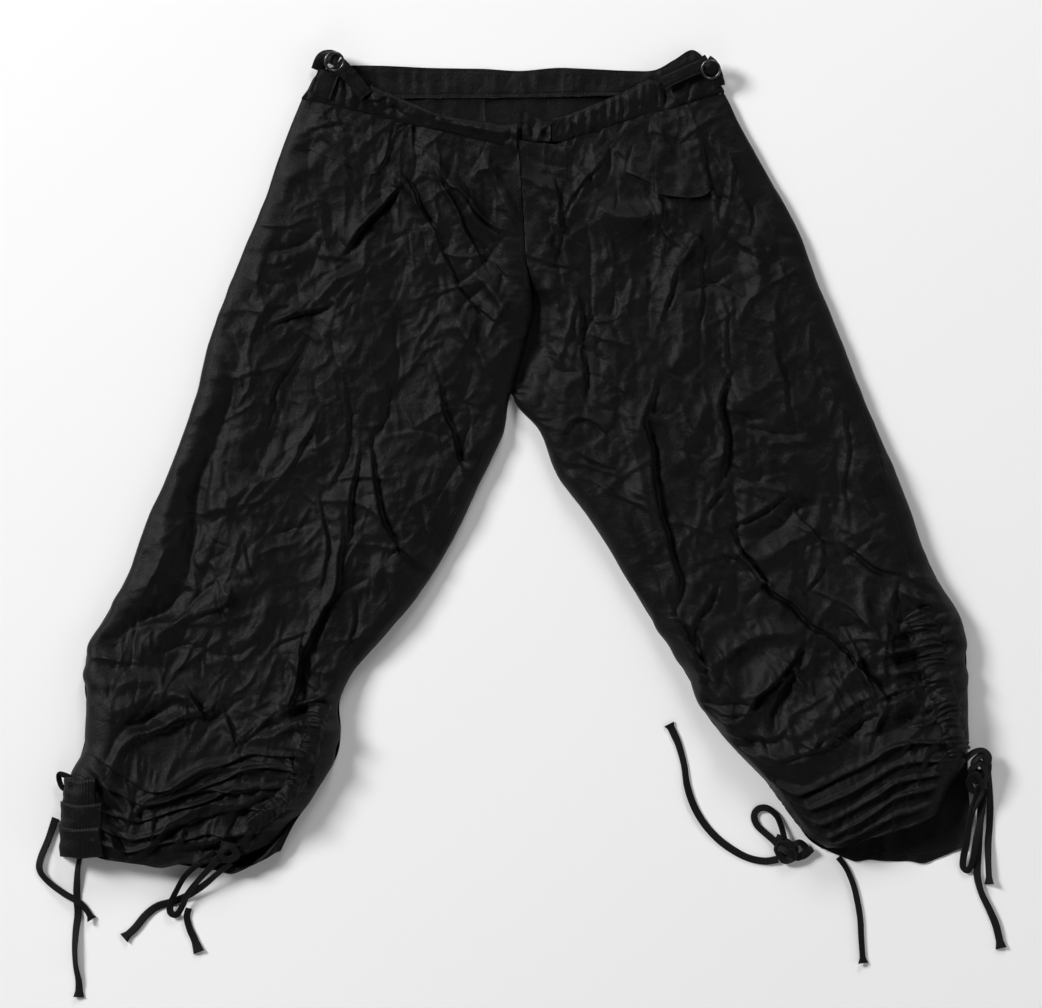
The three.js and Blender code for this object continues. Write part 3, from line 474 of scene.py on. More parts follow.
def front_height(u, width, loft, inner_edge):
    """Height of a front across its width, rounded down at both edges."""
    z = loft - (loft - EDGE_TOP) * (1 - quarter_round(u * width / ROLL))
    return z - (loft - inner_edge) * (1 - quarter_round((1 - u) * width / ROLL))


def path_points(points, step):
    """A smooth line through the points, at about this spacing."""
    points = np.array(points, float)
    if len(points) == 2:
        count = max(2, int(np.hypot(*(points[1] - points[0])) / step))
        return points[0] + (points[1] - points[0]) * np.linspace(0, 1, count)[:, None]
    length = np.sum(np.hypot(*np.diff(points[:, :2], axis=0).T))
    r = np.linspace(0, len(points) - 1, max(3, int(length / step)))
    return np.stack([smooth_value(points[:, k], r) for k in range(points.shape[1])], axis=-1)


def near_line(x, y, points):
    """Distance to a line of points, signed to its upper left, and the share along it."""
    best = np.full(x.shape, 1e9)
    side = np.ones(x.shape)
    share = np.zeros(x.shape)
    count = len(points) - 1
    for k in range(count):
        (ax, ay), (bx, by) = points[k], points[k + 1]
        dx, dy = bx - ax, by - ay
        t = np.clip(((x - ax) * dx + (y - ay) * dy) / (dx * dx + dy * dy), 0, 1)
        ox, oy = x - ax - dx * t, y - ay - dy * t
        off = np.hypot(ox, oy)
        nx, ny = dy, -dx
        if nx + ny > 0:
            nx, ny = -nx, -ny
        closer = off < best
        best = np.where(closer, off, best)
        side = np.where(closer, np.where(ox * nx + oy * ny >= 0, 1, -1), side)
        share = np.where(closer, (k + t) / count, share)
    return best * side, share


def near_box(x, y, line, reach):
    """Which of the points lie within reach of the box around a line."""
    low, high = line.min(axis=0) - reach, line.max(axis=0) + reach
    return (x > low[0]) & (x < high[0]) & (y > low[1]) & (y < high[1])


def crease_height(x, y, creases):
    """Height that all creases add at board points. Besides the listed kinds, a "pinch" is a sharp
    ridge, steeper on one side."""
    total = np.zeros(x.shape)
    x, y = (x + 2.4 * swirl(x, y, 1, 60) + 0.5 * swirl(x, y, 3, 18),
            y + 2.4 * swirl(x, y, 2, 60) + 0.5 * swirl(x, y, 4, 18))
    for kind, width, height, points in creases:
        line = path_points(points, 9)
        near = near_box(x, y, line, 4.0 * width)
        if not near.any():
            continue
        off, share = near_line(x[near], y[near], line)
        taper = np.sin(np.pi * np.clip(share, 0.03, 0.97)) ** 0.55
        if kind == "fold":
            lip = smoothstep(off / (1.4 + 0.16 * width) + 0.5)
            body = np.exp(-np.maximum(off, 0) / width) * lip
            foot = np.exp(-((np.minimum(off, 0) / (width * 0.55)) ** 2)) * (1 - lip)
            added = 1.5 * height * taper * (body * 0.75 - foot * 0.45)
        elif kind == "pinch":
            run = np.where(off > 0, off / width, -off / (0.5 * width))
            added = height * taper * np.exp(-run)
        elif kind == "dip":
            added = -height * taper * np.exp(-(np.abs(off) / width) ** 1.4)
        else:
            added = height * taper * np.exp(-(np.abs(off) / width) ** 1.5)
        total[near] += added
    return total


def swirl(x, y, seed, scale):
    """Smooth noise over the board, between about -1 and 1."""
    random = np.random.RandomState(seed)
    total = np.zeros(x.shape)
    for _ in range(7):
        angle, phase = random.uniform(0, 2 * math.pi, 2)
        rate = random.uniform(0.6, 1.6) * 2 * math.pi / scale
        total += np.sin((x * math.cos(angle) + y * math.sin(angle)) * rate + phase)
    return total / 3.2


def crumple(x, y, seed, size, slope, stretch, lean):
    """Crumpled cloth: domes or bowls of about a size, with sides of a slope, that meet in creases.
    Along the direction lean they are stretched."""
    random = np.random.RandomState(seed)
    wx = x + swirl(x, y, seed + 7, size * 5) * size * 0.45
    wy = y + swirl(x, y, seed + 8, size * 5) * size * 0.45
    c, s = math.cos(lean), math.sin(lean)
    px, py = (wx * c + wy * s) / stretch, -wx * s + wy * c
    low = np.array([px.min(), py.min()]) - size
    counts = np.ceil((np.array([px.max(), py.max()]) + size - low) / size).astype(int)
    spots = np.array([(i, j) for i in range(counts[0]) for j in range(counts[1])])
    centres = low + (spots + random.uniform(0, 1, spots.shape)) * size
    weights = random.uniform(0, 0.5, len(spots)) * size * size
    shape = x.shape
    px, py = px.ravel(), py.ravel()
    order = np.argsort(py)
    sorted_y = py[order]
    nearest = np.full(px.shape, 1.4 * size * size)
    for (cx, cy), weight in zip(centres, weights):
        first, last = np.searchsorted(sorted_y, [cy - 1.3 * size, cy + 1.3 * size])
        spot = order[first:last]
        spot = spot[np.abs(px[spot] - cx) < 1.3 * size]
        gap = (px[spot] - cx) ** 2 + (py[spot] - cy) ** 2 + weight
        nearest[spot] = np.minimum(nearest[spot], gap)
    return (nearest.reshape(shape) / (2 * size) - 0.22 * size) * slope


def small_creases(lines, count, seed, along):
    """Short pinched creases all over a leg, most of them along it and some across."""
    random = np.random.RandomState(seed)
    total = len(lines["outX"])
    creases = []
    for _ in range(count):
        r = np.array([random.uniform(0.2, total - 1.5)])
        u = random.uniform(0.05, 0.95)
        x = smooth_value(lines["outX"], r)[0] * (1 - u) + smooth_value(lines["inX"], r)[0] * u
        y = smooth_value(lines["outY"], r)[0] * (1 - u) + smooth_value(lines["inY"], r)[0] * u
        lean = along + random.normal(0, 0.38) + (random.choice([-0.95, 0.85]) if random.rand() < 0.42 else 0)
        half = random.uniform(7, 17) + 30 * random.rand() ** 3
        bend = random.normal(0, 0.16) * half
        dx, dy = math.cos(lean) * half, math.sin(lean) * half
        size = random.uniform(0.9, 2.3) * (1.5 if half > 18 else 1)
        height = size * random.choice([1, 1, -1.1])
        points = [(x - dx, y - dy), (x - dy / half * bend, y + dx / half * bend), (x + dx, y + dy)]
        creases.append(("pinch", random.uniform(2.2, 4.6), height, points))
    return creases


def gather_height(x, y, channel):
    """Ridges that run out of a gathered channel into the cloth."""
    _, points, _, _, gathers, height = CHANNELS[channel]
    line = path_points(points, 6)
    near = near_box(x, y, line, 110)
    off, share = near_line(x[near], y[near], line)
    fade = smoothstep(share / 0.12) * smoothstep((1 - share) / 0.05)
    phase = share * gathers * 2 * math.pi + 2.6 * wander(share * 50 + off * 0.05, 40, 5)
    coarse = np.cos(phase * 0.42 + 2.0 * wander(share * 50 - off * 0.06, 60, 5))
    fine = np.cos(phase) * (0.45 + 0.75 * wander(share * 70 + off * 0.1, 80, 4))
    wave = fine * 0.7 * np.exp(-np.abs(off) / 22) + coarse * np.exp(-(np.abs(off) / 46) ** 1.3)
    total = np.zeros(x.shape)
    total[near] += height * GATHERS_LEFT * fade * wave
    return total


# How each tuck turns under its edge: share of a line past the edge, and share of the rise.
TURN = numbers("0.03 0.97, 0.055 0.88, 0.065 0.74, 0.055 0.58, 0.02 0.42, -0.07 0.26, -0.17 0.12")


def tuck_rows(first):
    """(line number, share of the rise, tuck) of the fine lines: each tuck climbs to its edge,
    turns under it and runs back before the next one comes out."""
    rows = []
    for k in range(TUCKS):
        begin = first + k - (0.0 if k == 0 else 0.26)
        end = first + k + 1
        steps = 13 if k == 0 else 16
        rows += [(begin + (end - begin) * n / steps, n / steps, k) for n in range(steps + 1)]
        if k < TUCKS - 1:
            rows += [(end + ahead, share, k) for ahead, share in TURN]
    return rows


def leg_rows(lines, body_end):
    """(line number, share of the rise, tuck) of every fine line of a front."""
    spread = np.hypot(np.diff(lines["outX"]), np.diff(lines["outY"]))
    rows = []
    for k in range(body_end):
        parts = int(round(spread[k] / LEG_STEP))
        rows += [(k + n / parts, 0.0, -1) for n in range(parts)]
    return np.array(rows + tuck_rows(body_end))


def across_leg(width):
    """Shares across a front, closer together where its edges round down."""
    roll = ROLL / width
    edge = (1 - np.cos(np.linspace(0, math.pi / 2, LEG_EDGE))) * roll
    middle = roll + (1 - 2 * roll) * (np.arange(1, LEG_MIDDLE + 1) / (LEG_MIDDLE + 1.0))
    return np.concatenate([edge, middle, 1 - edge[:, ::-1]], axis=1)


def leg_relief(x, y, lines, channel, along, seed):
    """Crumple of a front that runs along the leg: the coarse part, with its gathers, and the fine."""
    coarse = crease_height(x, y, small_creases(lines, SMALL_CREASES, seed + 80, along))
    patchy = np.clip(0.62 + 0.75 * swirl(x, y, seed + 50, 150), 0.12, 1.4)
    coarse -= crumple(x, y, seed + 20, 50, 0.31, 3.0, along)
    coarse += crumple(x, y, seed + 30, 28, 0.22, 3.0, along + 0.4) * patchy
    coarse -= crumple(x, y, seed + 40, 15, 0.27, 2.6, along - 0.5) * patchy
    coarse += gather_height(x, y, channel)
    patchy = np.clip(0.6 + 0.5 * swirl(x, y, seed + 51, 90), 0.2, 1.2)
    fine = crumple(x, y, seed + 60, 10, 0.34, 2.0, along + 0.2) * patchy
    fine -= crumple(x, y, seed + 70, 6, 0.30, 1.6, along - 0.4) * patchy
    fine += 0.7 * crumple(x, y, seed + 75, 14, 0.30, 1.8, along + 0.9)
    return coarse, fine


def leg_surface(side, lines, creases, channel, calm, firm, sway, hem_wave, seed):
    """Fine front of one leg, as board points with a row for each line. The tucks keep the share calm
    of the crumple and firm of the placed creases. Their edges wander by sway and the hem by hem_wave."""
    total = len(lines["outX"])
    body_end = total - TUCKS - 1  # the last line above the tucks
    rows = leg_rows(lines, body_end)
    share, tuck = rows[:, 1][:, None], rows[:, 2][:, None]
    in_tuck = tuck >= 0
    r = rows[:, 0][:, None] + np.zeros((1, 2 * LEG_EDGE + LEG_MIDDLE))
    out_x, out_y, in_x, in_y = read_at(lines, "outX outY inX inY", r)
    width = np.hypot(in_x - out_x, in_y - out_y)
    u = across_leg(width[:, :1])
    stray = wander(u * 100 + tuck * 37, seed, 16) * 0.08 + wander(u * 100 + tuck * 11, seed + 1, 6) * 0.035
    r = r + np.where(in_tuck, stray * sway * np.clip(r - body_end, 0, 1), 0)
    r = np.clip(r, 0, total - 1 + 0.2)

    out_x, out_y, in_x, in_y = read_at(lines, "outX outY inX inY", r)
    out_sag, in_sag, loft, in_z = read_at(lines, "outSag inSag loft inZ", r)
    hip = in_y < CROTCH_Y
    in_x = np.where(hip, np.interp(in_y, FRONT_CENTRE[:, 1], FRONT_CENTRE[:, 0]) + side * FRONT_GAP, in_x)
    x = out_x + (in_x - out_x) * u
    y = out_y + (in_y - out_y) * u + sag_at(u, out_sag, in_sag, side)
    lumps = 0.5 + 1.5 * smoothstep((y - 520) / 120) * (1 - smoothstep((y - 740) / 30))
    outer_lump = wander(y, seed + 9, 15) * np.exp(-((u * width / 16) ** 2))
    inner_lump = wander(y, seed + 19, 15) * np.exp(-(((1 - u) * width / 16) ** 2)) * (in_y > CROTCH_Y + 20)
    x = x + side * lumps * (outer_lump - inner_lump)
    y = y + hem_wave * wander(u * 100, seed + 29, 14) * smoothstep((r - (total - 1.7)) / 0.6)

    from_edge = np.minimum(u, np.where(hip, 1.0, 1 - u)) * width
    seat = smoothstep(from_edge / 14)
    placed = crease_height(x, y, creases)
    coarse, fine = leg_relief(x, y, lines, channel, math.pi / 2 - 0.3 * side, seed)
    rise = lines["rise"][np.clip(body_end + 1 + tuck, 0, total - 1).astype(int)]
    lift = np.maximum(rise, 2.5) * (1.1 + 0.3 * wander(u * 100 + tuck * 19, seed + 5, 12))
    ends = np.minimum(1, np.minimum(7 * u, 5 * (1 - u)))
    climb = 0.6 * share ** 0.7 + 0.4 * smoothstep((share - 0.72) / 0.24)
    z = front_height(u, width, loft, in_z)
    z = z + (coarse * seat + fine * smoothstep(from_edge / 5)) * np.where(in_tuck, calm, 1.0)
    z = z + placed * seat * np.where(in_tuck, firm, 1.3)
    z = z + np.where(in_tuck, lift * climb * ends, 0)
    return x, y, np.maximum(z, FRONT_LOWEST)


def mesh_object(name, vertices, faces, material):
    """A smooth mesh from rows of vertices in metres and a list of faces."""
    mesh = bpy.data.meshes.new(name)
    mesh.from_pydata(np.reshape(vertices, (-1, 3)).tolist(), [], faces)
    mesh.materials.append(material)
    mesh.polygons.foreach_set("use_smooth", [True] * len(mesh.polygons))
    mesh.update()
    piece = bpy.data.objects.new(name, mesh)
    bpy.context.collection.objects.link(piece)
    return piece


def grid_faces(rows, columns, closed=False):
    """Quads of a grid; closed joins its last column to its first."""
    across = columns if closed else columns - 1
    i, j = np.meshgrid(np.arange(rows - 1), np.arange(across), indexing="ij")
    k = (j + 1) % columns
    quads = [i * columns + j, (i + 1) * columns + j, (i + 1) * columns + k, i * columns + k]
    return np.stack(quads, axis=-1).reshape(-1, 4)


def sheet_object(name, x, y, z, flip=False):
    """An open sheet of cloth over a grid of board points."""
    faces = grid_faces(*x.shape)
    if flip:
        faces = faces[:, ::-1]
    return mesh_object(name, place(x, y, z), faces.tolist(), CLOTH_LOOK)


def wall_object(name, x, y, z, thickness):
    """A closed wall of cloth: a grid of top points, the same grid lower down, and its four sides."""
    rows, columns = x.shape
    top, low = place(x, y, z), place(x, y, z - thickness)
    faces = grid_faces(rows, columns)
    count = rows * columns
    rim = np.concatenate([np.arange(columns), np.arange(1, rows) * columns + columns - 1,
                          (rows - 1) * columns + np.arange(columns - 2, -1, -1),
                          np.arange(rows - 2, 0, -1) * columns])
    following = np.roll(rim, -1)
    sides = np.stack([rim + count, following + count, following, rim], axis=-1)
    if np.cross(top[-1, 0] - top[0, 0], top[0, -1] - top[0, 0])[2] <= 0:
        faces, sides = faces[:, ::-1], sides[:, ::-1]
    everything = np.concatenate([faces, faces[:, ::-1] + count, sides])
    return mesh_object(name, np.concatenate([top, low]), everything.tolist(), CLOTH_LOOK)


class Ground:
    """Heights of what is laid beneath a piece."""

    def __init__(self, *pieces):
        self.trees = []
        for piece in pieces:
            mesh = piece.data
            corners = [v.co for v in mesh.vertices]
            self.trees.append(BVHTree.FromPolygons(corners, [tuple(p.vertices) for p in mesh.polygons]))

    def height(self, x, y, fallback):
        """Highest surface under each board point, in board millimetres."""
        shape = np.broadcast(x, y).shape
        xs, ys = np.broadcast_to(x, shape).ravel(), np.broadcast_to(y, shape).ravel()
        result = np.full(xs.shape, float(fallback))
        for k, (px, py) in enumerate(zip(xs, ys)):
            start = Vector(place(px, py, RAY_HEIGHT))
            for tree in self.trees:
                hit = tree.ray_cast(start, Vector((0, 0, -1)))[0]
                if hit is not None:
                    result[k] = max(result[k], hit.z / MM)
        return result.reshape(shape)


def back_surface(side, top, lines, hem, seed):
    """Back of one leg, flat on the floor with its edges curled up."""
    keep = len(lines["outX"]) - TUCKS
    body = {name: lines[name][:keep].copy() for name in ("outX", "outY", "inX", "inY")}
    body["outX"][0], body["outY"][0], body["inX"][0], body["inY"][0] = top
    body["outSag"] = body["inSag"] = np.zeros(keep)
    body["outCurl"] = np.full(keep, CURL)
    body["inCurl"] = np.where(body["inY"] > CROTCH_Y - 1, CURL, 0.0)
    columns = {name: np.concatenate([body[name], hem[name]]) for name in body}
    edge = np.linspace(0, 1, BACK_EDGE)[1:] ** 2 * 0.09
    middle = np.linspace(0.11, 0.89, BACK_MIDDLE)
    u = np.concatenate([[0], edge, middle, 1 - edge[::-1], [1]])[None, :]
    r = np.linspace(0, keep + len(hem["outX"]) - 1, BACK_ROWS)[:, None]
    r, u = np.broadcast_arrays(r, u)
    out_x, out_y, in_x, in_y = read_at(columns, "outX outY inX inY", r)
    out_sag, in_sag, out_curl, in_curl = read_at(columns, "outSag inSag outCurl inCurl", r)
    centre = np.interp(in_y, BACK_CENTRE[:, 1], BACK_CENTRE[:, 0])
    in_x = np.where(in_y < CROTCH_Y, centre - side * BACK_GAP, in_x)
    x, y = out_x + (in_x - out_x) * u, out_y + (in_y - out_y) * u + sag_at(u, out_sag, in_sag, -1)
    width = np.hypot(in_x - out_x, in_y - out_y)
    curl = np.maximum(out_curl, 0) * (1 - quarter_round(u * width / ROLL))
    curl += np.maximum(in_curl, 0) * (1 - quarter_round((1 - u) * width / ROLL))
    relief = 0.9 + crumple(x, y, seed, 38, 0.12, 1.6, 1.4) + crumple(x, y, seed + 1, 17, 0.16, 1.6, 1.9)
    relief -= crumple(x, y, seed + 2, 8, 0.2, 1.8, 1.5)
    rumpled = crease_height(x, y, BACK_CREASES)
    panel = smoothstep((y - 96) / 50) * smoothstep((260 - y) / 80)
    seam = 0.9 * np.exp(-(((1 - u) * width / 2.2) ** 2)) * (y < CROTCH_Y)
    z = BACK_LOWEST + curl + np.clip(relief, 0, 2.6) + 2.6 * panel + seam + rumpled
    return x, y, np.maximum(z, BACK_LOWEST)


def seam_point(lines, share):
    """Board point of a front's top edge at a share of its width."""
    out_x, out_y, in_x, in_y = read_at(lines, "outX outY inX inY", np.zeros(share.shape))
    out_sag, in_sag, loft, in_z = read_at(lines, "outSag inSag loft inZ", np.zeros(share.shape))
    x = out_x + (in_x - out_x) * share
    y = out_y + (in_y - out_y) * share + sag_at(share, out_sag, in_sag, -1)
    return x, y, front_height(share, np.hypot(in_x - out_x, in_y - out_y), loft, in_z)


def band_surface(lines, band, wrinkles, seed):
    """A front waistband, grown up from the front's top edge."""
    share = np.linspace(band[0, 0], band[-1, 0], BAND_STATIONS)[:, None]
    height = np.interp(share, band[:, 0], band[:, 1])
    lift = np.interp(share, band[:, 0], band[:, 2])
    x, y, z = seam_point(lines, share)
    t = np.linspace(0, 1, BAND_HEIGHT)[None, :]
    bow = np.sin(t * math.pi) ** 0.6
    rolled = -1.3 * smoothstep((t - 0.86) / 0.14)
    x, y = x + 0 * t, y - SEAM_GAP - height * t
    soft = 0.9 * wander(share * 90 + t * 4, seed, 9) + crumple(x, y, seed, 13, 0.34, 1.6, 1.2)
    soft = soft - crumple(x, y, seed + 5, 7, 0.30, 1.4, 2.0)
    soft = soft + crease_height(x, y, BAND_CREASES)
    groove = -0.5 * np.exp(-((t - 0.1) / 0.03) ** 2) - 0.5 * np.exp(-((t - 0.9) / 0.03) ** 2)
    foot = -1.4 * smoothstep((0.07 - t) / 0.07)
    z = z + lift * t + 1.4 * bow + rolled + wrinkles(share, t)
    return x, y, z + soft * (0.35 + 0.65 * np.sin(t * math.pi)) + groove + foot


def right_wrinkles(share, t):
    """The right waistband rolls over near the fly and folds once near its outer end."""
    roll = 2.2 * smoothstep((share - 0.55) / 0.2) * np.exp(-((t - 0.62) / 0.2) ** 2)
    fold = 3.0 * np.exp(-((share * 215 + t * 10 - 78) / 5.0) ** 2) * smoothstep(t / 0.3)
    return roll + fold + 0.9 * np.cos(share * 75 + 1.5 * np.sin(share * 31)) * np.sin(t * math.pi)


def underlap_wrinkles(share, t):
    """Upright wrinkles of the underlap."""
    return 0.6 * np.cos((share - 0.845) * 110 + 1.5 * t) * np.sin(t * math.pi) ** 0.5


def left_wrinkles(share, t):
    """Upright wrinkles of the left waistband, uneven and strongest in its middle."""
    along = np.clip((share - 0.36) / 0.48, 0, 1)
    phase = along * 9.5 * 2 * math.pi + 1.4 * wander(along * 40, 71, 6) + 0.7 * np.sin(t * 3)
    strength = np.sin(along * math.pi) ** 0.5 * (0.75 + 0.35 * wander(along * 40, 72, 5))
    return 2.3 * strength * (np.cos(phase) * 0.5 + 0.5) * (0.55 + 0.45 * np.sin(t * math.pi))


def channel_surface(ground, points, width_a, width_b, gathers, height, seed):
    """A strip drawn up on its cord: uneven waves across it, laid on the front."""
    line = path_points(points, 0.5)
    run = np.concatenate([[0], np.cumsum(np.hypot(*np.diff(line, axis=0).T))])
    count = int(run[-1] / CHANNEL_STEP)
    at = np.linspace(0, run[-1], count)
    centre_x, centre_y = np.interp(at, run, line[:, 0]), np.interp(at, run, line[:, 1])
    ahead_x, ahead_y = np.gradient(centre_x), np.gradient(centre_y)
    size = np.hypot(ahead_x, ahead_y)
    share = (at / run[-1])[:, None]
    half = (width_a + (width_b - width_a) * share) / 2
    at = at[:, None]
    v = np.linspace(-1, 1, CHANNEL_WIDTH)[None, :]
    slant = 2.4 * wander(at / 6, seed + 3, 3) * v
    phase = share * gathers * 2 * math.pi + 3.0 * wander(share * 60, seed, 5)
    phase = phase + 2.2 * wander(share * 60 + v * 3.5, seed + 1, 3.3) + slant - 3.6 * v * v
    uneven = 0.62 + 0.5 * wander(share * 75 + v * 2.2, seed + 6, 2.6)
    uneven = uneven + 0.25 * wander(v * 6 + share * 30, seed + 7, 2)
    wave = np.abs(np.cos(phase / 2)) ** 1.1 * np.clip(uneven, 0.12, 1.3)
    half = half * (1 + 0.06 * np.cos(phase) + 0.05 * wander(at, seed + 4, 11))
    x = centre_x[:, None] + (-ahead_y / size)[:, None] * half * v
    y = centre_y[:, None] + (ahead_x / size)[:, None] * half * v
    coarse = ground.height(x[::4, ::4], y[::4, ::4], EDGE_TOP)
    rows = np.interp(np.arange(count), np.arange(count)[::4], np.arange(len(coarse)))
    base = smooth_rows(coarse, rows, CHANNEL_WIDTH)
    puff = 1 - 0.55 * v ** 2
    z = base + 1.0 + height * (0.25 + 0.75 * wave) * puff + 0.45 * np.cos(v * math.pi)
    reach = 0.34 + 0.2 * wander(at / 5 + 40 * (v > 0), seed + 8, 3)
    ends = smoothstep((1 - np.abs(v)) / reach)
    return x, y, z * ends + (base - 0.8) * (1 - ends)


def smooth_rows(coarse, rows, columns):
    """A coarse grid of heights, softened and read at every fine row and column."""
    padded = np.pad(coarse, 2, mode="edge")
    soft = np.zeros(coarse.shape)
    for i in range(5):
        for j in range(5):
            soft += padded[i:i + coarse.shape[0], j:j + coarse.shape[1]] / 25
    soft = np.maximum(soft, coarse - 1.5)
    low = np.clip(np.floor(rows).astype(int), 0, len(soft) - 2)
    share = (rows - low)[:, None]
    tall = soft[low] * (1 - share) + soft[low + 1] * share
    across = np.linspace(0, soft.shape[1] - 1, columns)
    left = np.clip(np.floor(across).astype(int), 0, soft.shape[1] - 2)
    share = across - left
    return tall[:, left] * (1 - share) + tall[:, left + 1] * share


def laid_surface(ground, edges, lift, seed):
    """A flap between two facing edges, laid on what is beneath it, with its free edge lifted."""
    r = np.linspace(0, len(edges) - 1, (len(edges) - 1) * 12 + 1)
    top_x, top_y, low_x, low_y = (smooth_value(edges[:, k], r)[:, None] for k in range(4))
    t = np.linspace(0, 1, FLAP_HEIGHT)[None, :]
    x = top_x + (low_x - top_x) * t
    y = top_y + (low_y - top_y) * t
    base = ground.height(x, y, EDGE_TOP)
    padded = np.pad(base, 1, mode="edge")
    soft = sum(padded[i:i + base.shape[0], j:j + base.shape[1]] for i in range(3) for j in range(3)) / 9
    v = np.linspace(0, 1, len(r))[:, None]
    sides = smoothstep(v / 0.1) * smoothstep((1 - v) / 0.1) * smoothstep(t / 0.4)
    crumpled = crumple(x, y, seed, 24, 0.2, 1.5, 1.3) - crumple(x, y, seed + 1, 11, 0.24, 1.5, 0.6)
    return x, y, soft + (0.8 + crumpled) * sides - 2.0 * (1 - sides) + lift * t ** 2.5 * sides


def ribbon(points, width):
    """A strap along points with heights, rounded over its width."""
    line = path_points(points, RIBBON_STEP)
    ahead_x, ahead_y = np.gradient(line[:, 0]), np.gradient(line[:, 1])
    size = np.hypot(ahead_x, ahead_y)
    v = np.linspace(-1, 1, STRAP_WIDTH)[None, :]
    x = line[:, :1] - (ahead_y / size)[:, None] * v * width / 2
    y = line[:, 1:2] + (ahead_x / size)[:, None] * v * width / 2
    z = line[:, 2:3] + 0.5 * (1 - v ** 4) - 0.4 * np.exp(-((np.abs(v) - 0.78) / 0.1) ** 2)
    return x, y, z + crumple(x, y, int(width * 7), 8, 0.2, 1.3, 0.8)


def tube(name, points, ring, material, closed=False):
    """A tube along points in metres. ring gives its outline as (sideways, up) in metres."""
    points = np.array(points)
    if closed:
        ahead = np.roll(points, -1, axis=0) - np.roll(points, 1, axis=0)
    else:
        ahead = np.gradient(points, axis=0)
    ahead /= np.linalg.norm(ahead, axis=1)[:, None]
    side = np.stack([-ahead[:, 1], ahead[:, 0], np.zeros(len(points))], axis=1)
    length = np.linalg.norm(side, axis=1)[:, None]
    side = np.where(length > 1e-6, side / np.maximum(length, 1e-6), [[1, 0, 0]])
    up = np.cross(ahead, side)
    up *= np.where(up[:, 2:3] < 0, -1, 1)
    outline = np.array(ring(np.arange(len(points))), float)
    vertices = points[:, None] + side[:, None] * outline[..., :1] + up[:, None] * outline[..., 1:]
    rows, count = outline.shape[:2]
    faces = grid_faces(rows, count, closed=True).tolist()
    vertices = vertices.reshape(-1, 3)
    last = (rows - 1) * count
    around = [(j, (j + 1) % count) for j in range(count)]
    if closed:
        faces += [[last + j, j, k, last + k] for j, k in around]
    else:
        for j, k in around:
            faces += [[len(vertices), j, k], [len(vertices) + 1, last + k, last + j]]
        vertices = np.concatenate([vertices, points[[0, -1]]])
    return mesh_object(name, vertices, faces, material)


def tape_roll(steps, seed):
    """How far the flat tape rolls about its line at each step, in radians."""
    return 0.75 * wander(steps / 4.0, seed, 8)


def tape_ring(width, thickness, count, seed, flare):
    """Outline of a flat woven tape at each step. It rolls, and a free end is flared and thickened."""
    angles = np.arange(16) * 2 * math.pi / 16

    def ring(steps):
        rock = tape_roll(steps, seed)
        end = np.clip(1 - (count - 1 - steps) / 5.0, 0, 1) * flare
        wide = (1 + 0.1 * wander(steps / 3.0, seed + 1, 4) + 0.6 * end) * width / 2
        thick = (1 + 0.9 * end) * thickness / 2
        c, s = np.cos(angles), np.sin(angles)
        a = wide[:, None] * (np.sign(c) * np.abs(c) ** 0.8)[None, :]
        b = thick[:, None] * (np.sign(s) * np.abs(s) ** 0.8 * (1 - 0.3 * (1 - np.abs(c)) ** 2))[None, :]
        cr, sr = np.cos(rock)[:, None], np.sin(rock)[:, None]
        return np.stack([a * cr - b * sr, a * sr + b * cr], axis=-1) * MM

    return ring


def material(name, colour, roughness, specular, metallic=0.0):
    """A plain material, with its values on the shader's own sockets."""
    made = bpy.data.materials.new(name)
    made.use_nodes = True
    shader = made.node_tree.nodes["Principled BSDF"]
    shader.inputs["Base Color"].default_value = (*colour, 1)
    shader.inputs["Roughness"].default_value = roughness
    shader.inputs["Specular IOR Level"].default_value = specular
    shader.inputs["Metallic"].default_value = metallic
    return made


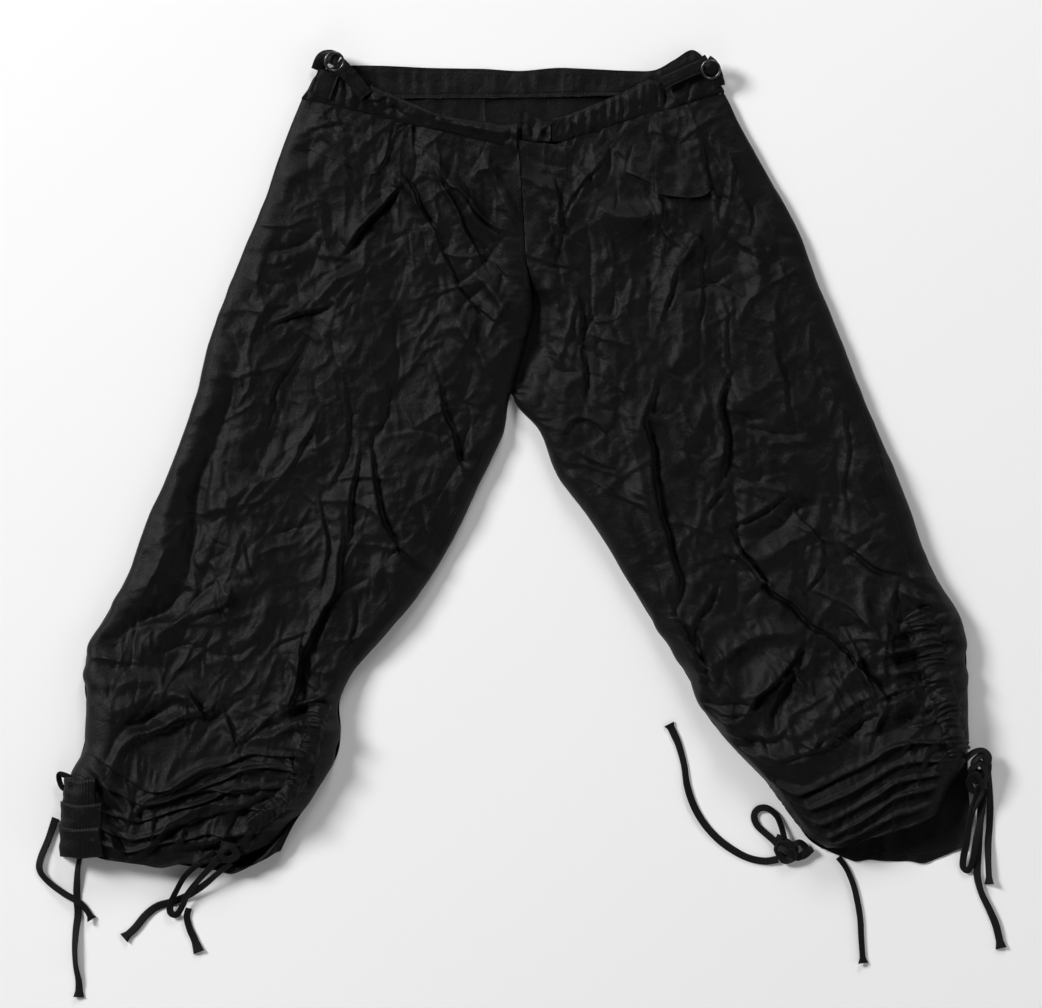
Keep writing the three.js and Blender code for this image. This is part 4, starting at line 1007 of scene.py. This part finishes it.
def add_weave(made, layers, yarn, shades):
    """Relief from layers of noise, (scale, distance of the bump in metres), and from crossed yarns of
    a width in metres. The colour drifts between two shades, with a fine grain."""
    tree = made.node_tree
    shader = tree.nodes["Principled BSDF"]
    where = tree.nodes.new("ShaderNodeTexCoord")
    bumps = []

    def add_bump(height, depth):
        bump = tree.nodes.new("ShaderNodeBump")
        bump.inputs["Strength"].default_value = 1.0
        bump.inputs["Distance"].default_value = depth
        tree.links.new(height, bump.inputs["Height"])
        if bumps:
            tree.links.new(bumps[-1].outputs["Normal"], bump.inputs["Normal"])
        bumps.append(bump)

    def add_noise(scale):
        noise = tree.nodes.new("ShaderNodeTexNoise")
        noise.inputs["Scale"].default_value = scale
        noise.inputs["Detail"].default_value = 3
        tree.links.new(where.outputs["Object"], noise.inputs["Vector"])
        return noise

    for scale, depth in layers:
        add_bump(add_noise(scale).outputs["Fac"], depth)
    for direction in ("X", "Y"):
        wave = tree.nodes.new("ShaderNodeTexWave")
        wave.bands_direction = direction
        wave.inputs["Scale"].default_value = 2 * math.pi / (20 * yarn)
        wave.inputs["Distortion"].default_value = 1.2
        tree.links.new(where.outputs["Object"], wave.inputs["Vector"])
        add_bump(wave.outputs["Fac"], 0.05 * yarn)
    tree.links.new(bumps[-1].outputs["Normal"], shader.inputs["Normal"])

    grain = tree.nodes.new("ShaderNodeMath")
    tree.links.new(add_noise(28).outputs["Fac"], grain.inputs[0])
    tree.links.new(add_noise(900).outputs["Fac"], grain.inputs[1])
    half = tree.nodes.new("ShaderNodeMath")
    half.operation = "MULTIPLY"
    half.inputs[1].default_value = 0.5
    tree.links.new(grain.outputs[0], half.inputs[0])
    ramp = tree.nodes.new("ShaderNodeValToRGB")
    for element, position, shade in zip(ramp.color_ramp.elements, (0.36, 0.64), shades):
        element.position = position
        element.color = (*shade, 1)
    tree.links.new(half.outputs[0], ramp.inputs["Fac"])
    tree.links.new(ramp.outputs["Color"], shader.inputs["Base Color"])


CLOTH_LOOK = material("black_cotton", (0.0040, 0.0039, 0.0045), 0.45, 0.12)
add_weave(CLOTH_LOOK, [(260, 0.0004), (700, 0.0004)], 0.0009,
          [(0.0026, 0.0026, 0.0029), (0.0060, 0.0058, 0.0067)])
CORD_LOOK = material("black_cord", (0.0052, 0.0052, 0.0056), 0.6, 0.14)
add_weave(CORD_LOOK, [(900, 0.0005)], 0.0012, [(0.0030, 0.0030, 0.0032), (0.0066, 0.0064, 0.0063)])
THREAD_LOOK = material("black_thread", (0.008, 0.008, 0.0085), 0.55, 0.2)
RING_LOOK = material("ring_steel", (0.10, 0.10, 0.105), 0.32, 0.5, metallic=1.0)
FLOOR_LOOK = material("floor_paper", (0.965, 0.965, 0.97), 0.9, 0.1)

shell = {}  # each dressed piece, by the name of the solid that it stands for


def dress(piece, node):
    """Ties a piece to the garment's body and the solid it stands for."""
    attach(piece, "root")
    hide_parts(node)
    shell[node] = piece


FRONTS = {
    "right": dict(side=-1, lines=RIGHT_LINES, creases=RIGHT_CREASES, channel="channel_inner_right",
                  calm=0.45, firm=1.0, sway=1.3, hem_wave=3.6, seed=100),
    "left": dict(side=1, lines=LEFT_LINES, creases=LEFT_CREASES, channel="channel_outer_left",
                 calm=0.28, firm=0.5, sway=0.7, hem_wave=0.8, seed=200),
}
BACKS = {
    "right": dict(side=-1, top=RIGHT_BACK_TOP, lines=RIGHT_LINES, hem=RIGHT_BACK_HEM, seed=300),
    "left": dict(side=1, top=LEFT_BACK_TOP, lines=LEFT_LINES, hem=LEFT_BACK_HEM, seed=400),
}
for part, surface, legs in (("front", leg_surface, FRONTS), ("back", back_surface, BACKS)):
    for leg, settings in legs.items():
        name = f"{part}_{leg}"
        dress(sheet_object(name + "_cloth", *surface(**settings), flip=leg == "left"), name)

# Front bands: share of the front's width, height of the band and how far its top stands up.
RIGHT_BAND = numbers("""
    0.0 2 0, 0.028 11 0, 0.05 22 0, 0.085 33 0, 0.2 36 0, 0.33 30 1, 0.48 23 2, 0.62 17 3, 0.75 17 3
    0.88 21 3, 1 25 2""")
LEFT_BAND = numbers("""
    0.0 2 0, 0.025 12 0, 0.045 22 0, 0.08 28 0, 0.14 28 0, 0.27 27 1, 0.37 36 1, 0.5 31 2, 0.64 28 3
    0.76 27 3, 0.84 24 3""")
UNDERLAP_BAND = numbers("0.845 18 -5.0, 0.92 25 -5.0, 0.985 32 -4.0")
for name, lines, band, wrinkles, seed in (
    ("waistband_front_right", RIGHT_LINES, RIGHT_BAND, right_wrinkles, 11),
    ("waistband_front_left", LEFT_LINES, LEFT_BAND, left_wrinkles, 12),
    ("fly_underlap", LEFT_LINES, UNDERLAP_BAND, underlap_wrinkles, 13),
):
    dress(wall_object(name + "_cloth", *band_surface(lines, band, wrinkles, seed), DOUBLED), name)

# Back band: x and y of its top edge, and x of its lower edge.
BACK_BAND = numbers("""
    318 71 310, 345 66 342, 385 66 388, 430 68 430, 484 69 484, 520 71 520, 556 68 556, 588 69 588
    632 71 630, 655 70 660, 674 60 686, 692 50 708, 705 60 716, 714 74 722, 718 86 724""")


def back_band_surface():
    """The back waistband, whose inner face shows above the fronts."""
    r = np.linspace(0, len(BACK_BAND) - 1, BACK_BAND_STATIONS)[:, None]
    top_x, top_y, low_x = (smooth_value(BACK_BAND[:, k], r) for k in range(3))
    left_x, left_y, middle_x, middle_y = LEFT_BACK_TOP
    left_slope = (left_y - middle_y) / (left_x - middle_x)
    right_slope = (RIGHT_BACK_TOP[1] - middle_y) / (RIGHT_BACK_TOP[0] - middle_x)
    slope = np.where(low_x < middle_x, right_slope, left_slope)
    low_y = middle_y + slope * (low_x - middle_x) - SEAM_GAP
    t = np.linspace(0, 1, BACK_BAND_HEIGHT)[None, :]
    x = top_x + (low_x - top_x) * t
    y = top_y + (low_y - top_y) * t
    soft = 0.5 * wander(r * 9, 81, 8) + crumple(x, y, 82, 15, 0.16, 1.5, 1.3)
    soft = soft - crumple(x, y, 83, 8, 0.14, 1.4, 2.1)
    grooves = 0.45 * np.exp(-((t - 0.1) / 0.03) ** 2) + 0.45 * np.exp(-((t - 0.88) / 0.03) ** 2)
    streaks = 0.8 * wander(top_x, 84, 9) + 0.5 * wander(top_x, 85, 4)
    z = 2.3 + 2.6 * t + soft + streaks * np.sin(t * math.pi) ** 0.5
    return x, y, z - 0.6 * smoothstep((0.08 - t) / 0.08) - grooves


dress(wall_object("waistband_back_cloth", *back_band_surface(), BACK_BAND_WALL), "waistband_back")

# Pocket flaps: x and y of the upper edge, and of the lower edge that faces it.
LEFT_FLAP = numbers("""
    632 133 622 172, 642 130 640 179, 652 128 653 186, 656 127 656 194, 672 124 680 198, 690 121 702 197
    704 119 714 187""")
RIGHT_FLAP = numbers("""
    318 124 304 147, 334 122 326 157, 352 122 348 166, 370 121 366 175, 384 122 378 172, 396 126 388 156""")
right_ground, left_ground = Ground(shell["front_right"]), Ground(shell["front_left"])
for name, ground, edges, lift, seed in (
    ("pocket_flap_left", left_ground, LEFT_FLAP, 5.0, 14),
    ("pocket_flap_right", right_ground, RIGHT_FLAP, 0.7, 16),
):
    dress(wall_object(name + "_cloth", *laid_surface(ground, edges, lift, seed), FLAP_WALL), name)

# Stacked folds of the right outer channel: top and bottom y, left and right x.
BLOCKS = numbers("776 800 64 98, 800 825 61 105, 824 852 60 104")


def block_surface(ground):
    """The three stacked folds that the outer channel of the right leg draws up."""
    rows = []
    for top, low, left, right in BLOCKS:
        for t in np.linspace(0, 1, BLOCK_ROWS):
            climb = math.sqrt(1 - (1 - min(t / 0.16, 1)) ** 2)
            height = 1.0 + 5.4 * climb - 3.2 * max(t - 0.16, 0) - 2.2 * smoothstep((t - 0.93) / 0.07)
            rows.append((top + (low + 3.5 - top) * t, height, left, right))
    y, height, left, right = (column[:, None] for column in np.array(rows).T)
    v = np.linspace(0, 1, BLOCK_WIDTH)[None, :]
    left = left + 0.8 * wander(y, 91, 6)
    right = right + 1.6 * wander(y, 92, 11)
    x = left + (right - left) * v
    y = y + 1.8 * np.sin(v * math.pi * 0.9) - 1.2 * v + 0.7 * wander(v * 30, 93, 7)
    coarse = ground.height(x[::4, ::3], y[::4, ::3], EDGE_TOP)
    along = np.interp(np.arange(len(x)), np.arange(len(x))[::4], np.arange(len(coarse)))
    base = smooth_rows(coarse, along, BLOCK_WIDTH)
    plateau = 6.0 + 17.0 * quarter_round((x - left) / 24.0)
    ribs = 0.35 * np.sin(x * 2.1) * smoothstep(v / 0.2)
    z = np.maximum(base, plateau) + height * smoothstep((1 - v) / 0.045) + ribs
    return x, y, np.where(v < 0.02, 3.0, z)


for number, (name, (leg, points, wide, narrow, gathers, height)) in enumerate(CHANNELS.items()):
    ground = left_ground if leg == "left" else right_ground
    if name == "channel_outer_right":
        surface = block_surface(ground)
    else:
        surface = channel_surface(ground, points, wide, narrow, gathers, height, 500 + 10 * number)
    dress(sheet_object(name + "_cloth", *surface), name)

# Adjuster straps: points along the middle, with heights, and the width.
STRAPS = {
    "adjuster_strap_right": (numbers("338 64 19.4, 344 70 19.5, 351 78 18.8, 358 86 18.6, 366 97 18.0"), 15),
    "adjuster_tab_right": (numbers("329 73 15.5, 325 84 16.0, 320 97 14.6"), 21),
    "adjuster_end_right": (numbers("339 62 18.4, 331 58 17.0, 323 60 11.5, 318 71 6.0"), 14),
    "adjuster_strap_left": (numbers("708 62 19.0, 701 66 19.0, 685 73 18.6, 662 84 18.4"), 14),
    "adjuster_end_left": (numbers("706 62 21.4, 712 67 22.4, 716 76 18.0, 719 87 12.0"), 12),
}
for name, (points, width) in STRAPS.items():
    dress(wall_object(name + "_cloth", *ribbon(points, width), STRAP_WALL), name)

# Rings: centre, tilt from flat and turn about the vertical, in radians.
RINGS = {
    "adjuster_ring_right": (335, 63, 20.6, 0.15, 0.6),
    "adjuster_ring_left": (710, 71, 20.6, 0.15, -0.6),
}


def circle(radius, count):
    """Points of a circle about the origin."""
    angles = np.arange(count) * 2 * math.pi / count
    return np.stack([np.cos(angles), np.sin(angles)], axis=-1) * radius


for name, (x, y, z, tilt, turn) in RINGS.items():
    flat = circle(RING_RADIUS, 56) * MM
    away, rise = flat[:, 1] * math.cos(tilt), flat[:, 1] * math.sin(tilt)
    turned = np.stack([flat[:, 0] * math.cos(turn) - away * math.sin(turn),
                       flat[:, 0] * math.sin(turn) + away * math.cos(turn), rise], axis=1)
    wire = np.broadcast_to(circle(RING_WIRE * MM, 12), (len(turned), 12, 2))
    ring = tube(name + "_wire", place(x, y, z) + turned, lambda steps: wire, RING_LOOK, closed=True)
    dress(ring, name)

# Cords: points with heights, from the channel to the far end.
CORDS = {
    "cord_outer_right_a": numbers("""
        56 818 4, 49 838 1.6, 41 858 1.6, 40 870 1.6, 48 881 2.6, 64 893 4.4, 78 901 5, 87 910 3.2
        92 919 1.6"""),
    "cord_outer_right_b": numbers("""
        81 854 3, 78 868 1.6, 77 884 1.4, 77 898 1.4, 78 914 1.4, 76 932 1.6, 75 950 1.6, 76 966 1.6
        79 982 1.6, 79 997 1.6"""),
    "cord_inner_right_a": numbers("""
        232 862 17, 219 872 14, 205 884 9, 190 894 4.8, 174 901 2, 158 906 1.6, 146 915 1.6, 135 928 1.6
        124 938 1.6"""),
    "cord_inner_right_loop": numbers("""
        216 850 22.5, 200 862 19, 186 875 12.5, 177 890 8.5, 171 903 6, 171 912 5, 177 914 5
        183 905 6.5, 189 892 9.5, 204 874 16, 220 858 22.5"""),
    "cord_inner_right_b": numbers("189 908 2.4, 187 917 1.6, 190 929 1.6, 194 938 1.6, 199 952 1.6"),
    "cord_inner_left_a": numbers("""
        778 859 3, 765 861 1.6, 749 858 1.6, 733 850 1.6, 717 838 1.6, 703 822 1.6, 693 804 1.6
        687 785 1.6, 684 765 1.6, 679 746 1.6, 674 734 1.6, 669 724 1.6"""),
    "cord_inner_left_loop": numbers("""
        784 838 8, 781 826 5.5, 776 815 3.5, 767 808 2, 758 809 1.6, 754 816 1.6, 757 825 1.6, 765 833 2
        773 840 3, 779 847 5"""),
    "cord_inner_left_b": numbers("""
        838 857 3, 846 868 1.6, 853 884 1.6, 857 900 1.6, 860 918 1.6, 861 936 1.6, 862 950 1.6
        863 963 1.6"""),
    "cord_outer_left_a": numbers("""
        981 776 9, 981 796 3.6, 980 816 1.8, 979 836 1.6, 978 856 1.6, 977 874 1.6, 981 892 1.6
        989 909 1.6, 996 926 1.6, 1001 948 1.6"""),
    "cord_outer_left_b": numbers("""
        988 771 6, 989.5 788 3, 990 806 2.2, 989.5 824 2, 988 842 1.8, 988 862 1.6, 989 884 1.6"""),
    "cord_outer_left_loop": numbers("""
        977 785 14, 974 802 10, 969 822 8.6, 966 842 7, 963 858 4.4, 963 867 3.4, 968 870 3.4, 972 861 5
        975 845 5.6, 979 825 5.8, 982 806 7.4, 983 788 12"""),
}
# Tape wound at each knot: points with heights, and its width.
WRAPS = {
    "knot_outer_right": (numbers("74 779 9, 66 775 9, 60 774 8, 60 781 6, 64 788 7, 73 790 9"), 6),
    "knot_inner_right": (numbers("""
        222 842 25, 233 846 26, 238 853 24, 230 858 22, 222 853 24, 228 845 27, 237 846 25"""), 7),
    "knot_inner_left": (numbers("""
        776 836 6, 788 842 8, 795 850 6, 788 858 4, 779 853 4, 780 843 8, 789 845 10, 794 856 7
        784 860 4, 777 848 6, 786 850 11, 797 857 6, 806 850 6, 799 842 7, 790 849 9, 801 856 5
        812 848 6"""), 7),
    "knot_outer_left": (numbers("""
        964 758 18, 973 751 20, 982 750 18, 988 757 14, 985 768 12, 976 771 15, 972 762 20, 980 755 21
        987 764 17, 984 776 13, 975 780 13, 970 770 17, 978 762 22, 985 772 17, 981 786 12, 972 790 11
        968 780 13, 976 774 18, 981 790 13, 975 802 10, 970 812 9"""), 7.5),
}


for number, (name, (route, width)) in enumerate(WRAPS.items()):
    line = place(*path_points(route, KNOT_STEP).T)
    ring = tape_ring(width, KNOT_THICKNESS, len(line), 700 + number, 0.0)
    dress(tube(name + "_tape", line, ring, CORD_LOOK), name)

for number, (name, route) in enumerate(CORDS.items()):
    seed, loop = 600 + number, name.endswith("loop")
    x, y, z = path_points(route, CORD_STEP).T
    rolled = CORD_WIDTH / 2 * np.abs(np.sin(tape_roll(np.arange(len(x)), seed)))
    line = place(x, y, np.maximum(z, CORD_CLEARANCE + rolled + CORD_THICKNESS / 2))
    ring = tape_ring(CORD_WIDTH + 0.2, CORD_THICKNESS, len(line), seed, 0.0 if loop else 1.0)
    dress(tube(name + "_tape", line, ring, CORD_LOOK), name)


FLOOR_HALF = 3.2  # metres
corners = np.array([(-1, -1, 0), (1, -1, 0), (1, 1, 0), (-1, 1, 0)]) * FLOOR_HALF
mesh_object("floor", corners, [[0, 1, 2, 3]], FLOOR_LOOK)

STITCH = 2.6  # length of one stitch, and the space after it
STITCH_GAP = 1.2
THREAD = 0.26  # radius of the thread

# Rows of stitches: the pieces they lie on, and the board points each row runs through.
STITCH_ROWS = {
    "stitches_right": (("front_right",), [
        numbers("497 433, 465 495, 421 578, 383 629, 343 672"),
        numbers("303 107, 360 119, 420 134, 470 146, 514 154"),
        numbers("514 158, 517 186, 520 228, 521 254, 528 290"),
    ]),
    "stitches_left": (("front_left",), [
        numbers("853 382, 879 466, 899 536, 915 590"),
        numbers("720 100, 660 116, 608 138, 560 150, 524 148"),
        numbers("566 152, 564 200, 556 232, 540 252, 527 262"),
        numbers("527 152, 529 184, 531 228, 531 256"),
        numbers("932 813, 880 835, 846 841, 830 840"),
    ]),
    "stitches_bands": (("waistband_front_right", "waistband_front_left", "waistband_back"), [
        numbers("404 98, 436 116, 470 125, 508 131"),
        numbers("556 125, 600 105, 640 86, 664 78"),
        numbers("352 68, 400 70, 450 71, 507 75, 560 71, 610 73, 646 74"),
        numbers("402 93, 453 95, 483 95, 520 94, 560 93, 604 95"),
    ]),
    "stitches_flaps": (("pocket_flap_left", "pocket_flap_right"), [
        numbers("658 188, 668 191, 690 192, 706 188"),
        numbers("627 168, 640 173, 651 180"),
        numbers("310 146, 328 153, 348 162, 366 170"),
    ]),
    "stitches_back": (("back_right", "back_left"), [
        numbers("842 842, 880 852, 920 854, 958 846"),
        numbers("481 100, 482 116, 483 128"),
    ]),
}


def stitch_row(ground, points):
    """Both ends of each stitch of a row, on the ground beneath it."""
    line = path_points(points, 0.5)
    run = np.concatenate([[0], np.cumsum(np.hypot(*np.diff(line, axis=0).T))])
    at = np.arange(STITCH, run[-1] - STITCH, STITCH + STITCH_GAP)
    for part in (-1, 1):
        x, y = (np.interp(at + part * STITCH / 2, run, line[:, k]) for k in (0, 1))
        yield place(x, y, ground.height(x, y, -1) + 0.1)


def stitches_object(name, pieces, rows):
    """All stitches of some rows as one mesh: each is a short six-sided bead, fuller in its middle."""
    ground = Ground(*(shell[piece] for piece in pieces))
    vertices, faces = [], []
    turn = np.arange(6) * math.pi / 3
    for points in rows:
        for a, b in zip(*stitch_row(ground, points)):
            if min(a[2], b[2]) < 0 or abs(a[2] - b[2]) > STITCH * MM:
                continue
            ahead = (b - a) / np.linalg.norm(b - a)
            side = np.cross(ahead, (0, 0, 1))
            up = np.cross(side, ahead)
            around = (side * np.cos(turn)[:, None] + up * np.sin(turn)[:, None]) * THREAD * MM
            base = len(vertices)
            vertices += [a - ahead * THREAD * MM, b + ahead * THREAD * MM]
            for share in (0, 0.5, 1):
                middle = a + (b - a) * share + up * 0.12 * MM * (1 if share == 0.5 else 0)
                vertices += list(middle + around)
            for j in range(6):
                k = (j + 1) % 6
                faces.append([base, base + 2 + k, base + 2 + j])
                faces.append([base + 1, base + 14 + j, base + 14 + k])
                for ring in (2, 8):
                    faces.append([base + ring + j, base + ring + k, base + ring + 6 + k, base + ring + 6 + j])
    return mesh_object(name, vertices, faces, THREAD_LOOK)


for name, (pieces, rows) in STITCH_ROWS.items():
    stitches = stitches_object(name, pieces, rows)
    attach(stitches, "root")


def lamp(name, energy, size, at, colour=(1, 1, 1)):
    """A square lamp that points at the middle of the garment."""
    data = bpy.data.lights.new(name, "AREA")
    data.energy, data.size, data.color = energy, size, colour
    light = bpy.data.objects.new(name, data)
    light.location = at
    light.rotation_euler = (-Vector(at)).to_track_quat("-Z", "Y").to_euler()
    bpy.context.collection.objects.link(light)


lamp("key", 500, 1.9, (-5.2, 2.8, 3.9), colour=(1.0, 0.995, 0.99))
lamp("top", 92, 1.6, (0.9, 4.2, 2.5))
lamp("fill", 44, 3.0, (3.8, -1.2, 2.2))
lamp("low", 31, 3.0, (-0.6, -3.9, 2.2))

world = bpy.data.worlds.new("room")
world.use_nodes = True
background = world.node_tree.nodes["Background"]
background.inputs["Color"].default_value = (0.95, 0.97, 1.0, 1)
background.inputs["Strength"].default_value = 0.03
bpy.context.scene.world = world
bpy.context.scene.view_settings.view_transform = "Standard"

IMAGE_CENTRE = place(521, 504, 0)  # the point that the camera looks down on
FIELD = 1.042  # width that the camera sees on the floor
LENS, SENSOR = 200, 36  # millimetres
camera_data = bpy.data.cameras.new("camera")
camera_data.lens, camera_data.sensor_width = LENS, SENSOR
camera_data.clip_end = 50
camera = bpy.data.objects.new("camera", camera_data)
camera.location = (IMAGE_CENTRE[0], IMAGE_CENTRE[1], FIELD * LENS / SENSOR)
bpy.context.collection.objects.link(camera)
bpy.context.scene.camera = camera
